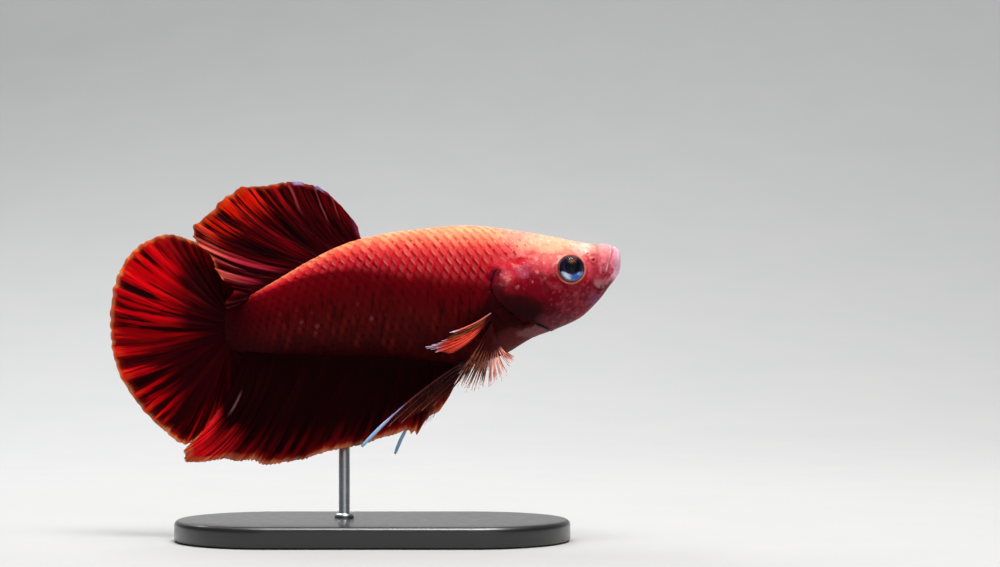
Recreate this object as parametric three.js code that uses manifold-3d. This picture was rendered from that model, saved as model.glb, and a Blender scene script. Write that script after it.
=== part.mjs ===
// A betta fish (Siamese fighting fish, short-finned halfmoon form) as a still, life-size museum model.
//
// The fish swims level with its head towards +X, its right flank towards -Y, and its tail swings a little
// towards +Y. It is held over a flat base by one rod, which meets the body low on the left flank.
// The origin is the middle of the base's underside. Lengths are millimetres and +Z is up.
//
// The fish is drawn in its own frame: x = 0, z = 0 is the middle of the tail root, where the tail fin
// starts, and the snout is at x = STANDARD_LENGTH. The fish group then lifts it over the base.
// The flesh is one lofted body, parted by thin cuts into head, jaws, gill covers, trunk and tail stem.

import * as THREE from 'three';
import { mergeVertices } from 'three/addons/utils/BufferGeometryUtils.js';
import Module from 'manifold-3d';

const wasm = await Module();
wasm.setup();

// ---------------------------------------------------------------- driving dimensions
const STANDARD_LENGTH = 44.9; // snout to tail root, without the tail fin
const CUT = 0.3; // width of the cuts that part neighbouring pieces
const FIN_THICKNESS = 0.55;
const ROOT_DEPTH = 0.6; // how far a fin's rays start inside the body before the body is cut out of it

const FISH_LIFT = 25; // tail root's height over the floor
const FISH_SHIFT = -16; // tail root's x from the middle of the base

const BASE = { length: 46, width: 23, thickness: 2.5, bevel: 0.5 };
const ROD = { radius: 0.65, x: 12.6, side: 2.05, top: 1.6 }; // x, side and top in the fish's frame

// ---------------------------------------------------------------- body form
// Sections across the body from the tail root to the snout:
// [x, top, bottom, half width, roundness above, roundness below]. A roundness of 2 is an ellipse,
// less is a keel and more is a box with round edges.
const BODY = [
  [-1.3, 2.3, -2.4, 0.3, 2.0, 2.0],
  [0.2, 3.1, -3.15, 0.8, 2.0, 1.9],
  [3.9, 4.9, -3.4, 1.55, 2.0, 1.8],
  [8.0, 7.3, -3.5, 2.3, 2.0, 1.75],
  [12.5, 9.5, -3.6, 3.0, 2.0, 1.75],
  [17.5, 10.8, -3.75, 3.55, 2.05, 1.8],
  [22.5, 11.4, -4.2, 3.9, 2.1, 1.9],
  [27.0, 11.7, -4.7, 4.1, 2.15, 2.0],
  [31.0, 11.35, -3.6, 4.05, 2.2, 2.0],
  [34.5, 10.85, -1.6, 3.85, 2.25, 1.95],
  [37.5, 10.3, -0.45, 3.5, 2.3, 1.95],
  [40.2, 9.75, 0.85, 3.05, 2.3, 2.0],
  [42.4, 9.5, 2.9, 2.45, 2.3, 2.1],
  [43.6, 9.35, 4.5, 1.95, 2.3, 2.2],
  [44.4, 9.05, 5.5, 1.5, 2.2, 2.2],
  [44.8, 8.7, 6.3, 1.0, 2.1, 2.1],
  [STANDARD_LENGTH, 8.1, 7.0, 0.45, 2.0, 2.0],
];
const WIDEST = 0.52; // share of the height at which a section is widest
const BODY_STATIONS = 38;
const BODY_AROUND = 24;

// The tail swings sideways from x = SWING_START back.
const SWING_START = 16;
const SWING = 0.9; // sideways shift at the tail root

function tailSwing(x) {
  const back = Math.max(0, SWING_START - x) / SWING_START;
  return SWING * back * back;
}

const clamp01 = (v) => Math.min(1, Math.max(0, v));

function smoothStep(from, to, v) {
  const s = clamp01((v - from) / (to - from));
  return s * s * (3 - 2 * s);
}

// Uniform Catmull-Rom spline through rows of numbers; t runs from 0 to 1 over all rows.
function splineRow(rows, t) {
  const at = clamp01(t) * (rows.length - 1);
  const i = Math.min(Math.floor(at), rows.length - 2);
  const f = at - i;
  const row = (k) => rows[Math.min(Math.max(k, 0), rows.length - 1)];
  const [a, b, c, d] = [row(i - 1), row(i), row(i + 1), row(i + 2)];
  return b.map((_, k) => 0.5 * (
    2 * b[k] + (c[k] - a[k]) * f
    + (2 * a[k] - 5 * b[k] + 4 * c[k] - d[k]) * f * f
    + (3 * b[k] - a[k] - 3 * c[k] + d[k]) * f * f * f));
}

// The section of the body at a given x, found by halving.
function sectionAt(x) {
  let [low, high] = [0, 1];
  for (let n = 0; n < 30; n += 1) {
    const middle = (low + high) / 2;
    if (splineRow(BODY, middle)[0] < x) low = middle;
    else high = middle;
  }
  return splineRow(BODY, low);
}

// A point on the body: t along it, angle round it from the left flank over the back, grown outwards.
function bodyPoint(t, angle, grow) {
  const [x, top, bottom, half, above, below] = splineRow(BODY, t);
  const middle = bottom + WIDEST * (top - bottom);
  const c = Math.cos(angle);
  const s = Math.sin(angle);
  const power = 2 / (s > 0 ? above : below);
  const height = (s > 0 ? top - middle : middle - bottom) + grow;
  return new THREE.Vector3(
    x + grow * (2 * t - 1),
    tailSwing(x) + Math.sign(c) * Math.abs(c) ** power * (half + grow),
    middle + Math.sign(s) * Math.abs(s) ** power * height,
  );
}

// ---------------------------------------------------------------- solids
// A closed geometry from points and triangles, turned so that its faces look outwards.
function indexed(points, triangles) {
  let volume = 0;
  for (let i = 0; i < triangles.length; i += 3) {
    const [a, b, c] = [0, 1, 2].map((k) => points[triangles[i + k]]);
    volume += a.dot(b.clone().cross(c));
  }
  const geometry = new THREE.BufferGeometry();
  const places = points.flatMap((p) => p.toArray());
  geometry.setAttribute('position', new THREE.Float32BufferAttribute(places, 3));
  geometry.setIndex(volume < 0 ? triangles.toReversed() : triangles);
  return geometry;
}

// A closed loft: rings of points along t, with a fan over each end.
function loft(pointAt, stations, around) {
  const points = [];
  const triangles = [];
  for (let i = 0; i <= stations; i += 1) {
    for (let j = 0; j < around; j += 1) points.push(pointAt(i / stations, (j / around) * 2 * Math.PI));
  }
  for (let i = 0; i < stations; i += 1) {
    for (let j = 0; j < around; j += 1) {
      const [a, b] = [i * around + j, i * around + ((j + 1) % around)];
      triangles.push(a, b, a + around, b, b + around, a + around);
    }
  }
  for (const [ring, forward] of [[0, false], [stations, true]]) {
    const centre = new THREE.Vector3();
    for (let j = 0; j < around; j += 1) centre.addScaledVector(points[ring * around + j], 1 / around);
    points.push(centre);
    for (let j = 0; j < around; j += 1) {
      const [a, b] = [ring * around + j, ring * around + ((j + 1) % around)];
      triangles.push(...(forward ? [a, b, points.length - 1] : [b, a, points.length - 1]));
    }
  }
  return indexed(points, triangles);
}

// A closed sheet of even thickness about a middle surface(u, v).
function sheet(surface, across, along, thickness) {
  const points = [];
  const triangles = [];
  const step = 1e-3;
  for (const side of [1, -1]) {
    for (let i = 0; i <= across; i += 1) {
      for (let j = 0; j <= along; j += 1) {
        const [u, v] = [i / across, j / along];
        const du = surface(Math.min(1, u + step), v).sub(surface(Math.max(0, u - step), v));
        const dv = surface(u, Math.min(1, v + step)).sub(surface(u, Math.max(0, v - step)));
        points.push(surface(u, v).addScaledVector(du.cross(dv).normalize(), (side * thickness) / 2));
      }
    }
  }
  const row = along + 1;
  const back = (across + 1) * row;
  for (let i = 0; i < across; i += 1) {
    for (let j = 0; j < along; j += 1) {
      const a = i * row + j;
      triangles.push(a, a + row, a + 1, a + 1, a + row, a + row + 1);
      triangles.push(a + back, a + 1 + back, a + row + back);
      triangles.push(a + 1 + back, a + row + 1 + back, a + row + back);
    }
  }
  const border = [];
  for (let j = 0; j < along; j += 1) border.push(j);
  for (let i = 0; i < across; i += 1) border.push(i * row + along);
  for (let j = along; j > 0; j -= 1) border.push(across * row + j);
  for (let i = across; i > 0; i -= 1) border.push(i * row);
  border.forEach((a, n) => {
    const b = border[(n + 1) % border.length];
    triangles.push(a, b, a + back, b, b + back, a + back);
  });
  return indexed(points, triangles);
}

// A prism along Y over an outline of [x, z] points; the outline is smoothed where smooth is true.
function prism(outline, nearY, farY, smooth = false) {
  const corners = outline.map(([x, z]) => new THREE.Vector2(x, z));
  const closed = new THREE.SplineCurve([...corners, corners[0]]);
  const shape = new THREE.Shape(smooth ? closed.getPoints(outline.length * 2).slice(0, -1) : corners);
  const geometry = new THREE.ExtrudeGeometry(shape, { depth: farY - nearY, bevelEnabled: false });
  geometry.rotateX(Math.PI / 2);
  geometry.translate(0, farY, 0);
  return geometry;
}

function solidOf(geometry) {
  const bare = geometry.clone();
  bare.deleteAttribute('normal');
  bare.deleteAttribute('uv');
  const merged = mergeVertices(bare, 1e-4);
  return new wasm.Manifold(new wasm.Mesh({
    numProp: 3,
    vertProperties: merged.attributes.position.array,
    triVerts: new Uint32Array(merged.index.array),
  }));
}

function geometryOf(solid) {
  const mesh = solid.getMesh();
  const geometry = new THREE.BufferGeometry();
  geometry.setAttribute('position', new THREE.BufferAttribute(mesh.vertProperties, 3));
  geometry.setIndex(new THREE.BufferAttribute(mesh.triVerts, 1));
  return geometry.toNonIndexed();
}

// The largest of the bodies that a cut leaves.
function largest(solid) {
  return solid.decompose().reduce((a, b) => (a.volume() > b.volume() ? a : b));
}

function mesh(name, geometry, material) {
  geometry.computeVertexNormals();
  const made = new THREE.Mesh(geometry, material);
  made.name = name;
  return made;
}

// ---------------------------------------------------------------- materials
function paint(color, roughness, metalness = 0) {
  return new THREE.MeshStandardMaterial({ color, roughness, metalness });
}

const scaledSkin = paint(0xb81f1a, 0.4);
const headSkin = paint(0xd8705c, 0.45);
const lipSkin = paint(0xd88a8c, 0.4);
const finSkin = paint(0xc0140c, 0.5);
const pelvicSkin = paint(0xb9a2b4, 0.5);
const pectoralSkin = paint(0xd98a78, 0.5);
const eyeGlass = paint(0x141829, 0.1);
const baseLacquer = paint(0x1c1c1e, 0.45);
const rodSteel = paint(0xb9bcc0, 0.3, 1);

const fish = new THREE.Group();
fish.position.set(FISH_SHIFT, 0, FISH_LIFT);

// ---------------------------------------------------------------- flesh: one body, parted by thin cuts
const flesh = solidOf(loft((t, angle) => bodyPoint(t, angle, 0), BODY_STATIONS, BODY_AROUND));
const fleshGrown = solidOf(loft((t, angle) => bodyPoint(t, angle, CUT), BODY_STATIONS, BODY_AROUND));
const REACH = 9; // past the flesh on every side

// A wall of the width of the cut, standing on a line of [x, z] points and running right across the body.
function cutWall(line) {
  const curve = new THREE.SplineCurve(line.map(([x, z]) => new THREE.Vector2(x, z)));
  const steps = line.length * 2;
  const edge = (side) => curve.getPoints(steps).map((p, i) => {
    const along = curve.getTangent(i / steps);
    return [p.x - (side * along.y * CUT) / 2, p.y + (side * along.x * CUT) / 2];
  });
  return solidOf(prism([...edge(1), ...edge(-1).reverse()], -REACH, REACH));
}

// The rear rim of the gill covers, carried up to the nape and down past the throat.
const HEAD_REAR = [[30.5, 12.6], [30.1, 9], [29.6, 5.8], [30.0, 3.8], [31.3, 2.2], [33.0, 0.9],
  [34.8, -0.1], [36.3, -1.0], [37.2, -2.3]];
const TAIL_STEM_FRONT = [[4.6, 7], [3.9, 4.5], [3.6, 1], [3.9, -2.5], [4.6, -5]];
const MOUTH_CLEFT = [[43.75, 10], [43.5, 7.9], [43.1, 6.5], [42.6, 5.4]];
const UPPER_JAW_REAR = [[42.3, 10.2], [42.25, 8.2], [42.0, 6.7], [41.7, 5.6]];
const LOWER_JAW_REAR = [[42.6, 5.4], [41.2, 3.7], [39.8, 1.6], [38.9, -1.2]];
const MOUTH_CORNER = [[41.7, 5.6], [42.15, 5.35], [42.6, 5.4]];
// The gill cover's front rim, from the throat up along the cheek and back over the cover's top.
const GILL_COVER = [[29.2, 6.2], [29.4, 4.2], [31.0, 1.6], [33.0, 0.1], [35.0, -1.0], [36.6, -1.8],
  [37.7, 0.0], [37.5, 2.1], [36.6, 4.1], [35.7, 5.9], [34.4, 7.0], [32.4, 7.5], [30.6, 7.2]];
const COVER_MIDDLE = [33.4, 3.4]; // about the middle of the cover's outline
const GILL_COVER_DEPTH = 1.9; // the covers' inner faces stand this far from the middle plane

// The gill cover's outline, grown all round by the width of the cut.
function coverPocket() {
  return GILL_COVER.map(([x, z]) => {
    const [dx, dz] = [x - COVER_MIDDLE[0], z - COVER_MIDDLE[1]];
    const share = 1 + CUT / Math.hypot(dx, dz);
    return [COVER_MIDDLE[0] + dx * share, COVER_MIDDLE[1] + dz * share];
  });
}

// The piece of a solid that holds the body's middle at x, z once it has been parted.
function pieceAt(solids, x, z, y = tailSwing(x)) {
  const probe = solidOf(new THREE.BoxGeometry(0.3, 0.3, 0.3).translate(x, y, z));
  return solids.find((s) => s.intersect(probe).volume() > 0);
}

function parted(solid, ...walls) {
  return walls.reduce((rest, wall) => rest.subtract(wall), solid).decompose();
}

const [headWall, stemWall] = [cutWall(HEAD_REAR), cutWall(TAIL_STEM_FRONT)];
const lengths = parted(flesh, headWall, stemWall);
const tailStem = pieceAt(lengths, 2, 0);
const trunk = pieceAt(lengths, 18, 2);
const wholeHead = pieceAt(lengths, 36, 6);

const headPieces = parted(
  wholeHead,
  ...[MOUTH_CLEFT, UPPER_JAW_REAR, LOWER_JAW_REAR, MOUTH_CORNER].map(cutWall),
);
const upperJaw = pieceAt(headPieces, 42.8, 8);
const lowerJaw = pieceAt(headPieces, 43.6, 5.8);
const skull = pieceAt(headPieces, 36, 6);

// ---------------------------------------------------------------- eyes, set in sockets
const EYE = { x: 39.0, z: 6.55, side: 2.45, radius: 1.68, depth: 1.2, forward: 0.16, upward: 0.14 };

function eyeball(side, grow) {
  const ball = new THREE.SphereGeometry(1, 18, 10);
  ball.scale(EYE.radius + grow, EYE.depth + grow, EYE.radius + grow);
  ball.rotateX(side * EYE.upward);
  ball.rotateZ(-side * EYE.forward);
  ball.translate(EYE.x, side * EYE.side, EYE.z);
  return ball;
}

let head = skull;
for (const [side, word] of [[-1, 'right'], [1, 'left']]) {
  const span = (depth) => [side * depth, side * REACH].sort((a, b) => a - b);
  const cover = skull.intersect(solidOf(prism(GILL_COVER, ...span(GILL_COVER_DEPTH), true)));
  const pocket = solidOf(prism(coverPocket(), ...span(GILL_COVER_DEPTH - CUT), true));
  head = head.subtract(pocket).subtract(solidOf(eyeball(side, CUT)));
  fish.add(mesh(`gill_cover_${word}`, geometryOf(largest(cover)), headSkin));
  fish.add(mesh(`eye_${word}`, eyeball(side, 0), eyeGlass));
}
fish.add(mesh('head', geometryOf(largest(head)), headSkin));
fish.add(mesh('upper_jaw', geometryOf(upperJaw), lipSkin));
fish.add(mesh('lower_jaw', geometryOf(lowerJaw), lipSkin));

// ---------------------------------------------------------------- stand
const outline = new THREE.Shape();
const [straight, round] = [(BASE.length - BASE.width) / 2, BASE.width / 2 - BASE.bevel];
outline.absarc(straight, 0, round, -Math.PI / 2, Math.PI / 2, false);
outline.absarc(-straight, 0, round, Math.PI / 2, (3 * Math.PI) / 2, false);
const plate = new THREE.ExtrudeGeometry(outline, {
  depth: BASE.thickness - 2 * BASE.bevel,
  bevelThickness: BASE.bevel,
  bevelSize: BASE.bevel,
  bevelSegments: 1,
  curveSegments: 16,
});
plate.translate(0, 0, BASE.bevel);

// The rod stands in a blind hole in the base and ends in another, low in the left flank.
const ROD_FOOT = 1.2; // the hole's floor over the underside
const rodTop = FISH_LIFT + ROD.top;
const rodX = FISH_SHIFT + ROD.x;
const rodY = tailSwing(ROD.x) + ROD.side;

function rodShape(grow, low, high) {
  const rod = new THREE.CylinderGeometry(ROD.radius + grow, ROD.radius + grow, high - low, 16);
  rod.rotateX(Math.PI / 2);
  rod.translate(rodX, rodY, (low + high) / 2);
  return rod;
}

const stand = new THREE.Group();
stand.add(mesh(
  'stand_base',
  geometryOf(solidOf(plate).subtract(solidOf(rodShape(CUT, ROD_FOOT, BASE.thickness + 1)))),
  baseLacquer,
));
stand.add(mesh('stand_rod', rodShape(0, ROD_FOOT + CUT, rodTop), rodSteel));
const rodInFish = solidOf(rodShape(CUT, ROD_FOOT, rodTop + CUT).translate(-FISH_SHIFT, 0, -FISH_LIFT));
fish.add(mesh('trunk', geometryOf(largest(trunk.subtract(rodInFish))), scaledSkin));
fish.add(mesh('tail_stem', geometryOf(tailStem), scaledSkin));

// ---------------------------------------------------------------- unpaired fins
// Each fin is a sheet of rays. A row is one ray: where it leaves the body and where it ends.
// u runs over the rays and v along each one. The rays bow a little, and the sheet ripples sideways.
// bow is a ray's arch as a share of its length.
function bowedRay(root, tip, bow, v) {
  const [dx, dz] = [tip[0] - root[0], tip[1] - root[1]];
  const arch = 4 * bow * v * (1 - v);
  return [root[0] + dx * v - dz * arch, root[1] + dz * v + dx * arch];
}

function medianFin(rows, rootOf, bow, sideways) {
  return (u, v) => {
    const row = splineRow(rows, u);
    const [x, z] = bowedRay(rootOf(row), row.slice(-2), bow, v);
    return new THREE.Vector3(x, tailSwing(x) + sideways(u, v), z);
  };
}

const wave = (turns, phase, u) => Math.sin(2 * Math.PI * (turns * u + phase));

// Dorsal fin, front ray to rear ray: [root x, tip x, tip z]. Its hind lobes curl towards the right.
const DORSAL = [
  [14.9, 14.3, 11.5], [14.2, 12.0, 14.4], [13.2, 9.5, 16.1], [12.1, 6.4, 16.8], [10.9, 3.0, 16.35],
  [9.9, 0.0, 15.4], [8.9, -2.8, 13.5], [7.9, -4.9, 11.1], [7.0, -4.4, 9.5], [6.2, -2.8, 8.0],
  [5.3, -2.2, 6.5], [4.2, -1.2, 5.2], [3.0, 0.0, 4.1], [2.3, -1.1, 2.6],
];
const backRoot = ([x]) => [x, sectionAt(x)[1] - ROOT_DEPTH];
const dorsalSideways = (u, v) => 0.3 * v * wave(6, 0.1, u)
  - v * (1.7 * smoothStep(0.55, 0.95, u) + 0.35 * smoothStep(0.5, 0.9, u) * wave(3, 0.25, u));

// Tail fin, top ray to bottom ray: [root height, tip x, tip z]. Its corners lean to the left.
const CAUDAL = [
  [2.35, 0.6, 5.2], [2.2, -1.8, 6.6], [2.0, -2.7, 8.2], [1.8, -4.0, 9.4], [1.5, -6.1, 10.2],
  [1.2, -8.2, 10.6], [0.9, -10.5, 9.9], [0.6, -12.6, 8.5], [0.3, -14.1, 6.2], [0.0, -15.0, 3.1],
  [-0.3, -15.2, -0.2], [-0.6, -14.6, -3.6], [-0.9, -13.2, -6.8], [-1.2, -11.0, -9.8],
  [-1.5, -8.5, -12.2], [-1.8, -6.1, -13.7], [-2.1, -4.4, -13.0], [-2.3, -2.9, -11.2],
  [-2.4, -0.8, -9.0], [-2.5, 1.4, -6.6], [-2.6, 3.4, -4.4],
];
const tailRoot = ([height]) => [-0.9 - 0.08 * height * height, height];
const caudalSideways = (u, v) => 0.32 * v * wave(8, 0.2, u)
  + v * (1.2 * smoothStep(0.35, 0, u) + 1.5 * smoothStep(0.68, 0.95, u));

// Anal fin, front ray to rear ray: [root x, tip x, tip z]. Its rear corner leans to the right.
const ANAL = [
  [25.6, 25.5, -7.1], [24.9, 24.8, -8.6], [24.1, 23.7, -10.0], [23.1, 22.3, -11.2], [21.9, 20.7, -12.1],
  [20.4, 18.6, -12.8], [18.5, 15.8, -13.4], [16.4, 12.7, -14.3], [14.1, 9.2, -15.1], [11.6, 5.9, -15.7],
  [9.1, 3.0, -16.05], [6.9, 0.5, -15.7], [5.0, -1.9, -15.7], [3.5, -4.0, -15.8], [2.4, -5.8, -15.7],
  [1.7, -6.1, -14.7], [1.3, -4.6, -13.2],
];
const bellyRoot = ([x]) => [x, sectionAt(x)[2] + ROOT_DEPTH];
const analSideways = (u, v) => 0.28 * v * wave(7, 0.3, u) - 1.6 * v * smoothStep(0.55, 1, u);

const dorsal = medianFin(DORSAL, backRoot, 0.05, dorsalSideways);
const anal = medianFin(ANAL, bellyRoot, 0.04, analSideways);
const caudal = medianFin(CAUDAL, tailRoot, 0.03, caudalSideways);
const ALONG_RAY = 4; // steps along each ray

function finSolid(surface, steps, thickness = FIN_THICKNESS) {
  return solidOf(sheet(surface, steps, ALONG_RAY, thickness)).subtract(fleshGrown);
}

const analGrown = finSolid(anal, 32, FIN_THICKNESS + 2 * CUT);
fish.add(mesh('dorsal_fin', geometryOf(largest(finSolid(dorsal, 32))), finSkin));
fish.add(mesh('anal_fin', geometryOf(largest(finSolid(anal, 32))), finSkin));
fish.add(mesh('caudal_fin', geometryOf(largest(finSolid(caudal, 41).subtract(analGrown))), finSkin));

// ---------------------------------------------------------------- paired fins
// A row is one ray: root x, y, z, middle x, y, z and tip x, y, z, with y away from the middle plane.
function pairedFin(rows, side, ripple) {
  return (u, v) => {
    const row = splineRow(rows, u);
    const [root, middle, tip] = [0, 3, 6].map((k) => new THREE.Vector3(...row.slice(k, k + 3)));
    const p = new THREE.QuadraticBezierCurve3(root, middle, tip).getPoint(v);
    p.y = side * (p.y + ripple(u, v));
    return p;
  };
}

// Pectoral fin: a wide fan, its upper rays drawn back along the flank and its lower ones curled forward.
const PECTORAL = [
  [29.9, 3.7, 1.6, 28.2, 4.8, 0.2, 25.2, 5.4, -0.7],
  [29.9, 3.7, 1.3, 27.4, 5.2, -1.9, 22.4, 5.8, -2.5],
  [29.9, 3.7, 1.0, 27.7, 5.6, -2.4, 23.9, 6.4, -4.2],
  [29.9, 3.6, 0.4, 27.9, 5.4, -2.8, 25.5, 6.4, -6.2],
  [30.0, 3.6, -0.1, 28.7, 5.2, -3.6, 27.0, 6.4, -7.3],
  [30.1, 3.5, -0.5, 29.4, 5.2, -3.9, 28.8, 6.6, -7.1],
  [30.2, 3.5, -0.9, 29.9, 5.2, -3.7, 30.6, 6.8, -6.5],
  [30.4, 3.4, -1.2, 30.2, 5.0, -3.2, 31.9, 6.6, -5.2],
  [30.6, 3.3, -1.4, 30.6, 4.8, -2.8, 32.6, 6.0, -3.9],
];
// Pelvic fins: a long first ray, with shorter ones behind it. The right one sweeps further back.
const PELVIC_RIGHT = [
  [28.5, 1.3, -3.1, 20.9, 3.3, -7.3, 14.9, 3.2, -13.9],
  [28.7, 1.4, -3.1, 21.2, 3.3, -7.7, 15.4, 3.2, -14.1],
  [28.9, 1.4, -3.0, 22.6, 3.2, -8.1, 18.1, 3.3, -12.4],
  [29.1, 1.5, -3.0, 23.6, 3.1, -8.2, 20.5, 3.3, -10.9],
  [29.2, 1.5, -2.9, 24.6, 3.0, -8.0, 22.4, 3.2, -9.9],
];
const PELVIC_LEFT = [
  [28.5, 1.3, -3.1, 20.9, 3.2, -8.3, 18.5, 2.9, -15.1],
  [28.7, 1.4, -3.1, 21.2, 3.2, -8.8, 19.1, 2.9, -15.2],
  [28.9, 1.4, -3.0, 22.0, 3.1, -9.3, 20.9, 3.0, -13.0],
  [29.1, 1.5, -3.0, 22.6, 3.0, -9.3, 21.6, 3.0, -12.7],
  [29.2, 1.5, -2.9, 23.4, 2.9, -9.2, 22.7, 3.0, -11.6],
];

for (const [side, word, pelvic] of [[-1, 'right', PELVIC_RIGHT], [1, 'left', PELVIC_LEFT]]) {
  const fan = finSolid(pairedFin(PECTORAL, side, (u, v) => 0.25 * v * wave(3, 0, u)), 20);
  const trail = finSolid(pairedFin(pelvic, side, (u, v) => 0.15 * v * wave(1.5, 0, u)), 6);
  fish.add(mesh(`pectoral_fin_${word}`, geometryOf(largest(fan)), pectoralSkin));
  fish.add(mesh(`pelvic_fin_${word}`, geometryOf(largest(trail)), pelvicSkin));
}

const part = new THREE.Group();
part.add(fish, stand);
export default part;
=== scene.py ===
import math
import bpy
import numpy as np
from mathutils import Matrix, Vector


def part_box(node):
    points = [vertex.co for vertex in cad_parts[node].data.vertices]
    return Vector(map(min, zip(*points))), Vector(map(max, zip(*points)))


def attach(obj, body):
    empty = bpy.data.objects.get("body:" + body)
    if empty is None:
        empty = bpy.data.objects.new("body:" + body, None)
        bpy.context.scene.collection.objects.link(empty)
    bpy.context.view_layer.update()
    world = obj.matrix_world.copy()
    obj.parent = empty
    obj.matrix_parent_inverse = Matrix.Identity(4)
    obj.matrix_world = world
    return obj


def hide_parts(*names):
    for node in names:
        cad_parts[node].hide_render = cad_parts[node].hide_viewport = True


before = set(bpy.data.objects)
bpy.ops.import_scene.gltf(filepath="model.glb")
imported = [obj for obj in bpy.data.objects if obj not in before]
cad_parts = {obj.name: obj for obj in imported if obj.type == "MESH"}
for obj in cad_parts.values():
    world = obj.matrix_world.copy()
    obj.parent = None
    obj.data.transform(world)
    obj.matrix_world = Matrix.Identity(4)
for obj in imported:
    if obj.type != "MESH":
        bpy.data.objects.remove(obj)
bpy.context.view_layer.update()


# ------------------------------------------------------------------------------------------------
# The skin: one seamless hide over head, jaws, gill covers, trunk and tail stem, thin and slightly
# wet, with the mouth, lips, nostrils, eye sockets and gill openings worked into it. It is a loft
# through sections from the tail to the snout, lying inside the flesh by the depth of the scales.
MM = 0.001
TAU = 2 * math.pi
NUDGE = 1e-3               # small step for differences of a surface
SIDES = ((1, "left"), (-1, "right"))
ROD_X = 12.6               # the rod's centre, in front of the tail root
ROD_TOP = 1.6              # the rod's upper end, above the tail root
rod_low, rod_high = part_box("stand_rod")
ROOT_X = (rod_low[0] + rod_high[0]) / 2 / MM - ROD_X
ROOT_Z = rod_high[2] / MM - ROD_TOP

# One section a row: x, top, bottom, half width, roundness above and below the widest level.
BODY = np.array([
    [-1.3, 2.3, -2.4, 0.3, 2.0, 2.0], [0.2, 3.1, -3.15, 0.8, 2.0, 1.9],
    [3.9, 4.9, -3.4, 1.55, 2.0, 1.8], [8.0, 7.3, -3.5, 2.3, 2.0, 1.75],
    [12.5, 9.5, -3.6, 3.0, 2.0, 1.75], [17.5, 10.8, -3.75, 3.55, 2.05, 1.8],
    [22.5, 11.4, -4.2, 3.9, 2.1, 1.9], [27.0, 11.7, -4.7, 4.1, 2.15, 2.0],
    [31.0, 11.35, -3.6, 4.05, 2.2, 2.0], [34.5, 10.85, -1.6, 3.85, 2.25, 1.95],
    [37.5, 10.3, -0.45, 3.5, 2.3, 1.95], [40.2, 9.75, 0.85, 3.05, 2.3, 2.0],
    [42.4, 9.5, 2.9, 2.45, 2.3, 2.1], [43.6, 9.35, 4.5, 1.95, 2.3, 2.2],
    [44.4, 9.05, 5.5, 1.5, 2.2, 2.2], [44.8, 8.7, 6.3, 1.0, 2.1, 2.1],
    [44.9, 8.1, 7.0, 0.45, 2.0, 2.0],
])
WIDEST = 0.52              # the widest level, as a share of the height
SWING_START = 16.0         # in front of this the spine is straight
SWING = 0.9                # how far the tail root leans to the left
SCALE_DEPTH = 0.1          # the skin lies this far inside the flesh


def spline(rows, t):
    """Uniform Catmull-Rom curve through the rows, t from 0 to 1; the first and last row count twice."""
    rows = np.asarray(rows, float)
    span = np.clip(t, 0, 1) * (len(rows) - 1)
    i = np.minimum(span.astype(int), len(rows) - 2)
    f = (span - i)[..., None]
    ends = np.concatenate([rows[:1], rows, rows[-1:]])
    a, b, c, d = (ends[i + k] for k in range(4))
    return 0.5 * (2 * b + (c - a) * f + (2 * a - 5 * b + 4 * c - d) * f**2
                  + (3 * b - a - 3 * c + d) * f**3)


def smooth(low, high, value):
    """Smooth step: 0 at low, 1 at high, 3s^2 - 2s^3 between, either way round."""
    s = np.clip((value - low) / (high - low), 0, 1)
    return s * s * (3 - 2 * s)


def between(low, full, still, high, value):
    """Smooth rise from low to full and smooth fall from still to high."""
    return smooth(low, full, value) * smooth(high, still, value)


def bump(distance, width):
    """Bell curve: 1 where the distance is 0, fading over the width."""
    return np.exp(-(distance / width) ** 2)


def unit(vectors):
    """The vectors at length 1."""
    return vectors / np.maximum(np.linalg.norm(vectors, axis=-1, keepdims=True), 1e-9)


def tail_swing(x):
    """Sideways lean of the spine, growing with the square of the way back from where it starts."""
    return SWING * (np.maximum(0, SWING_START - x) / SWING_START) ** 2


def body_point(t, angle):
    """Point of the flesh: a superellipse section of the sizes at t, angle 0 on the left flank and
    a quarter turn on the back; the upper and the lower half have their own height and roundness."""
    t, angle = np.broadcast_arrays(t, angle)
    x, top, bottom, half, above, below = np.moveaxis(spline(BODY, t), -1, 0)
    middle = bottom + WIDEST * (top - bottom)
    c, s = np.cos(angle), np.sin(angle)
    power = 2 / np.where(s > 0, above, below)
    y = tail_swing(x) + np.sign(c) * np.abs(c) ** power * half
    reach = np.where(s > 0, top - middle, middle - bottom)
    return np.stack([x, y, middle + np.sign(s) * np.abs(s) ** power * reach], -1)


def body_normal(t, angle):
    """Outward unit normal of the flesh, from the cross product of its two small differences."""
    along = body_point(np.clip(t + NUDGE, 0, 1), angle) - body_point(np.clip(t - NUDGE, 0, 1), angle)
    around = body_point(t, angle + 4 * NUDGE) - body_point(t, angle - 4 * NUDGE)
    return unit(np.cross(around, along))


T_TABLE = np.linspace(0, 1, 4001)
X_TABLE = spline(BODY, T_TABLE)[:, 0]


def t_at(x):
    """The loft's parameter at a place along the fish, read back from a fine table of places."""
    return np.interp(x, X_TABLE, T_TABLE)


def flank_share(t, z):
    """Height z in the section at t as a share, 0 at the belly and 1 at the crest."""
    rows = spline(BODY, t)
    return (z - rows[..., 2]) / (rows[..., 1] - rows[..., 2])


def line_offset(x, z, line):
    """Distance in side view from a line that rises in z, positive towards the snout: the step in
    x from the line at the same height, shortened by the line's slope."""
    fine = spline(line, np.linspace(0, 1, 80))
    at = np.interp(z, fine[:, 1], fine[:, 0])
    slope = np.interp(z, fine[:, 1], np.gradient(fine[:, 0], fine[:, 1]))
    return (x - at) / np.sqrt(1 + slope**2)


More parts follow.
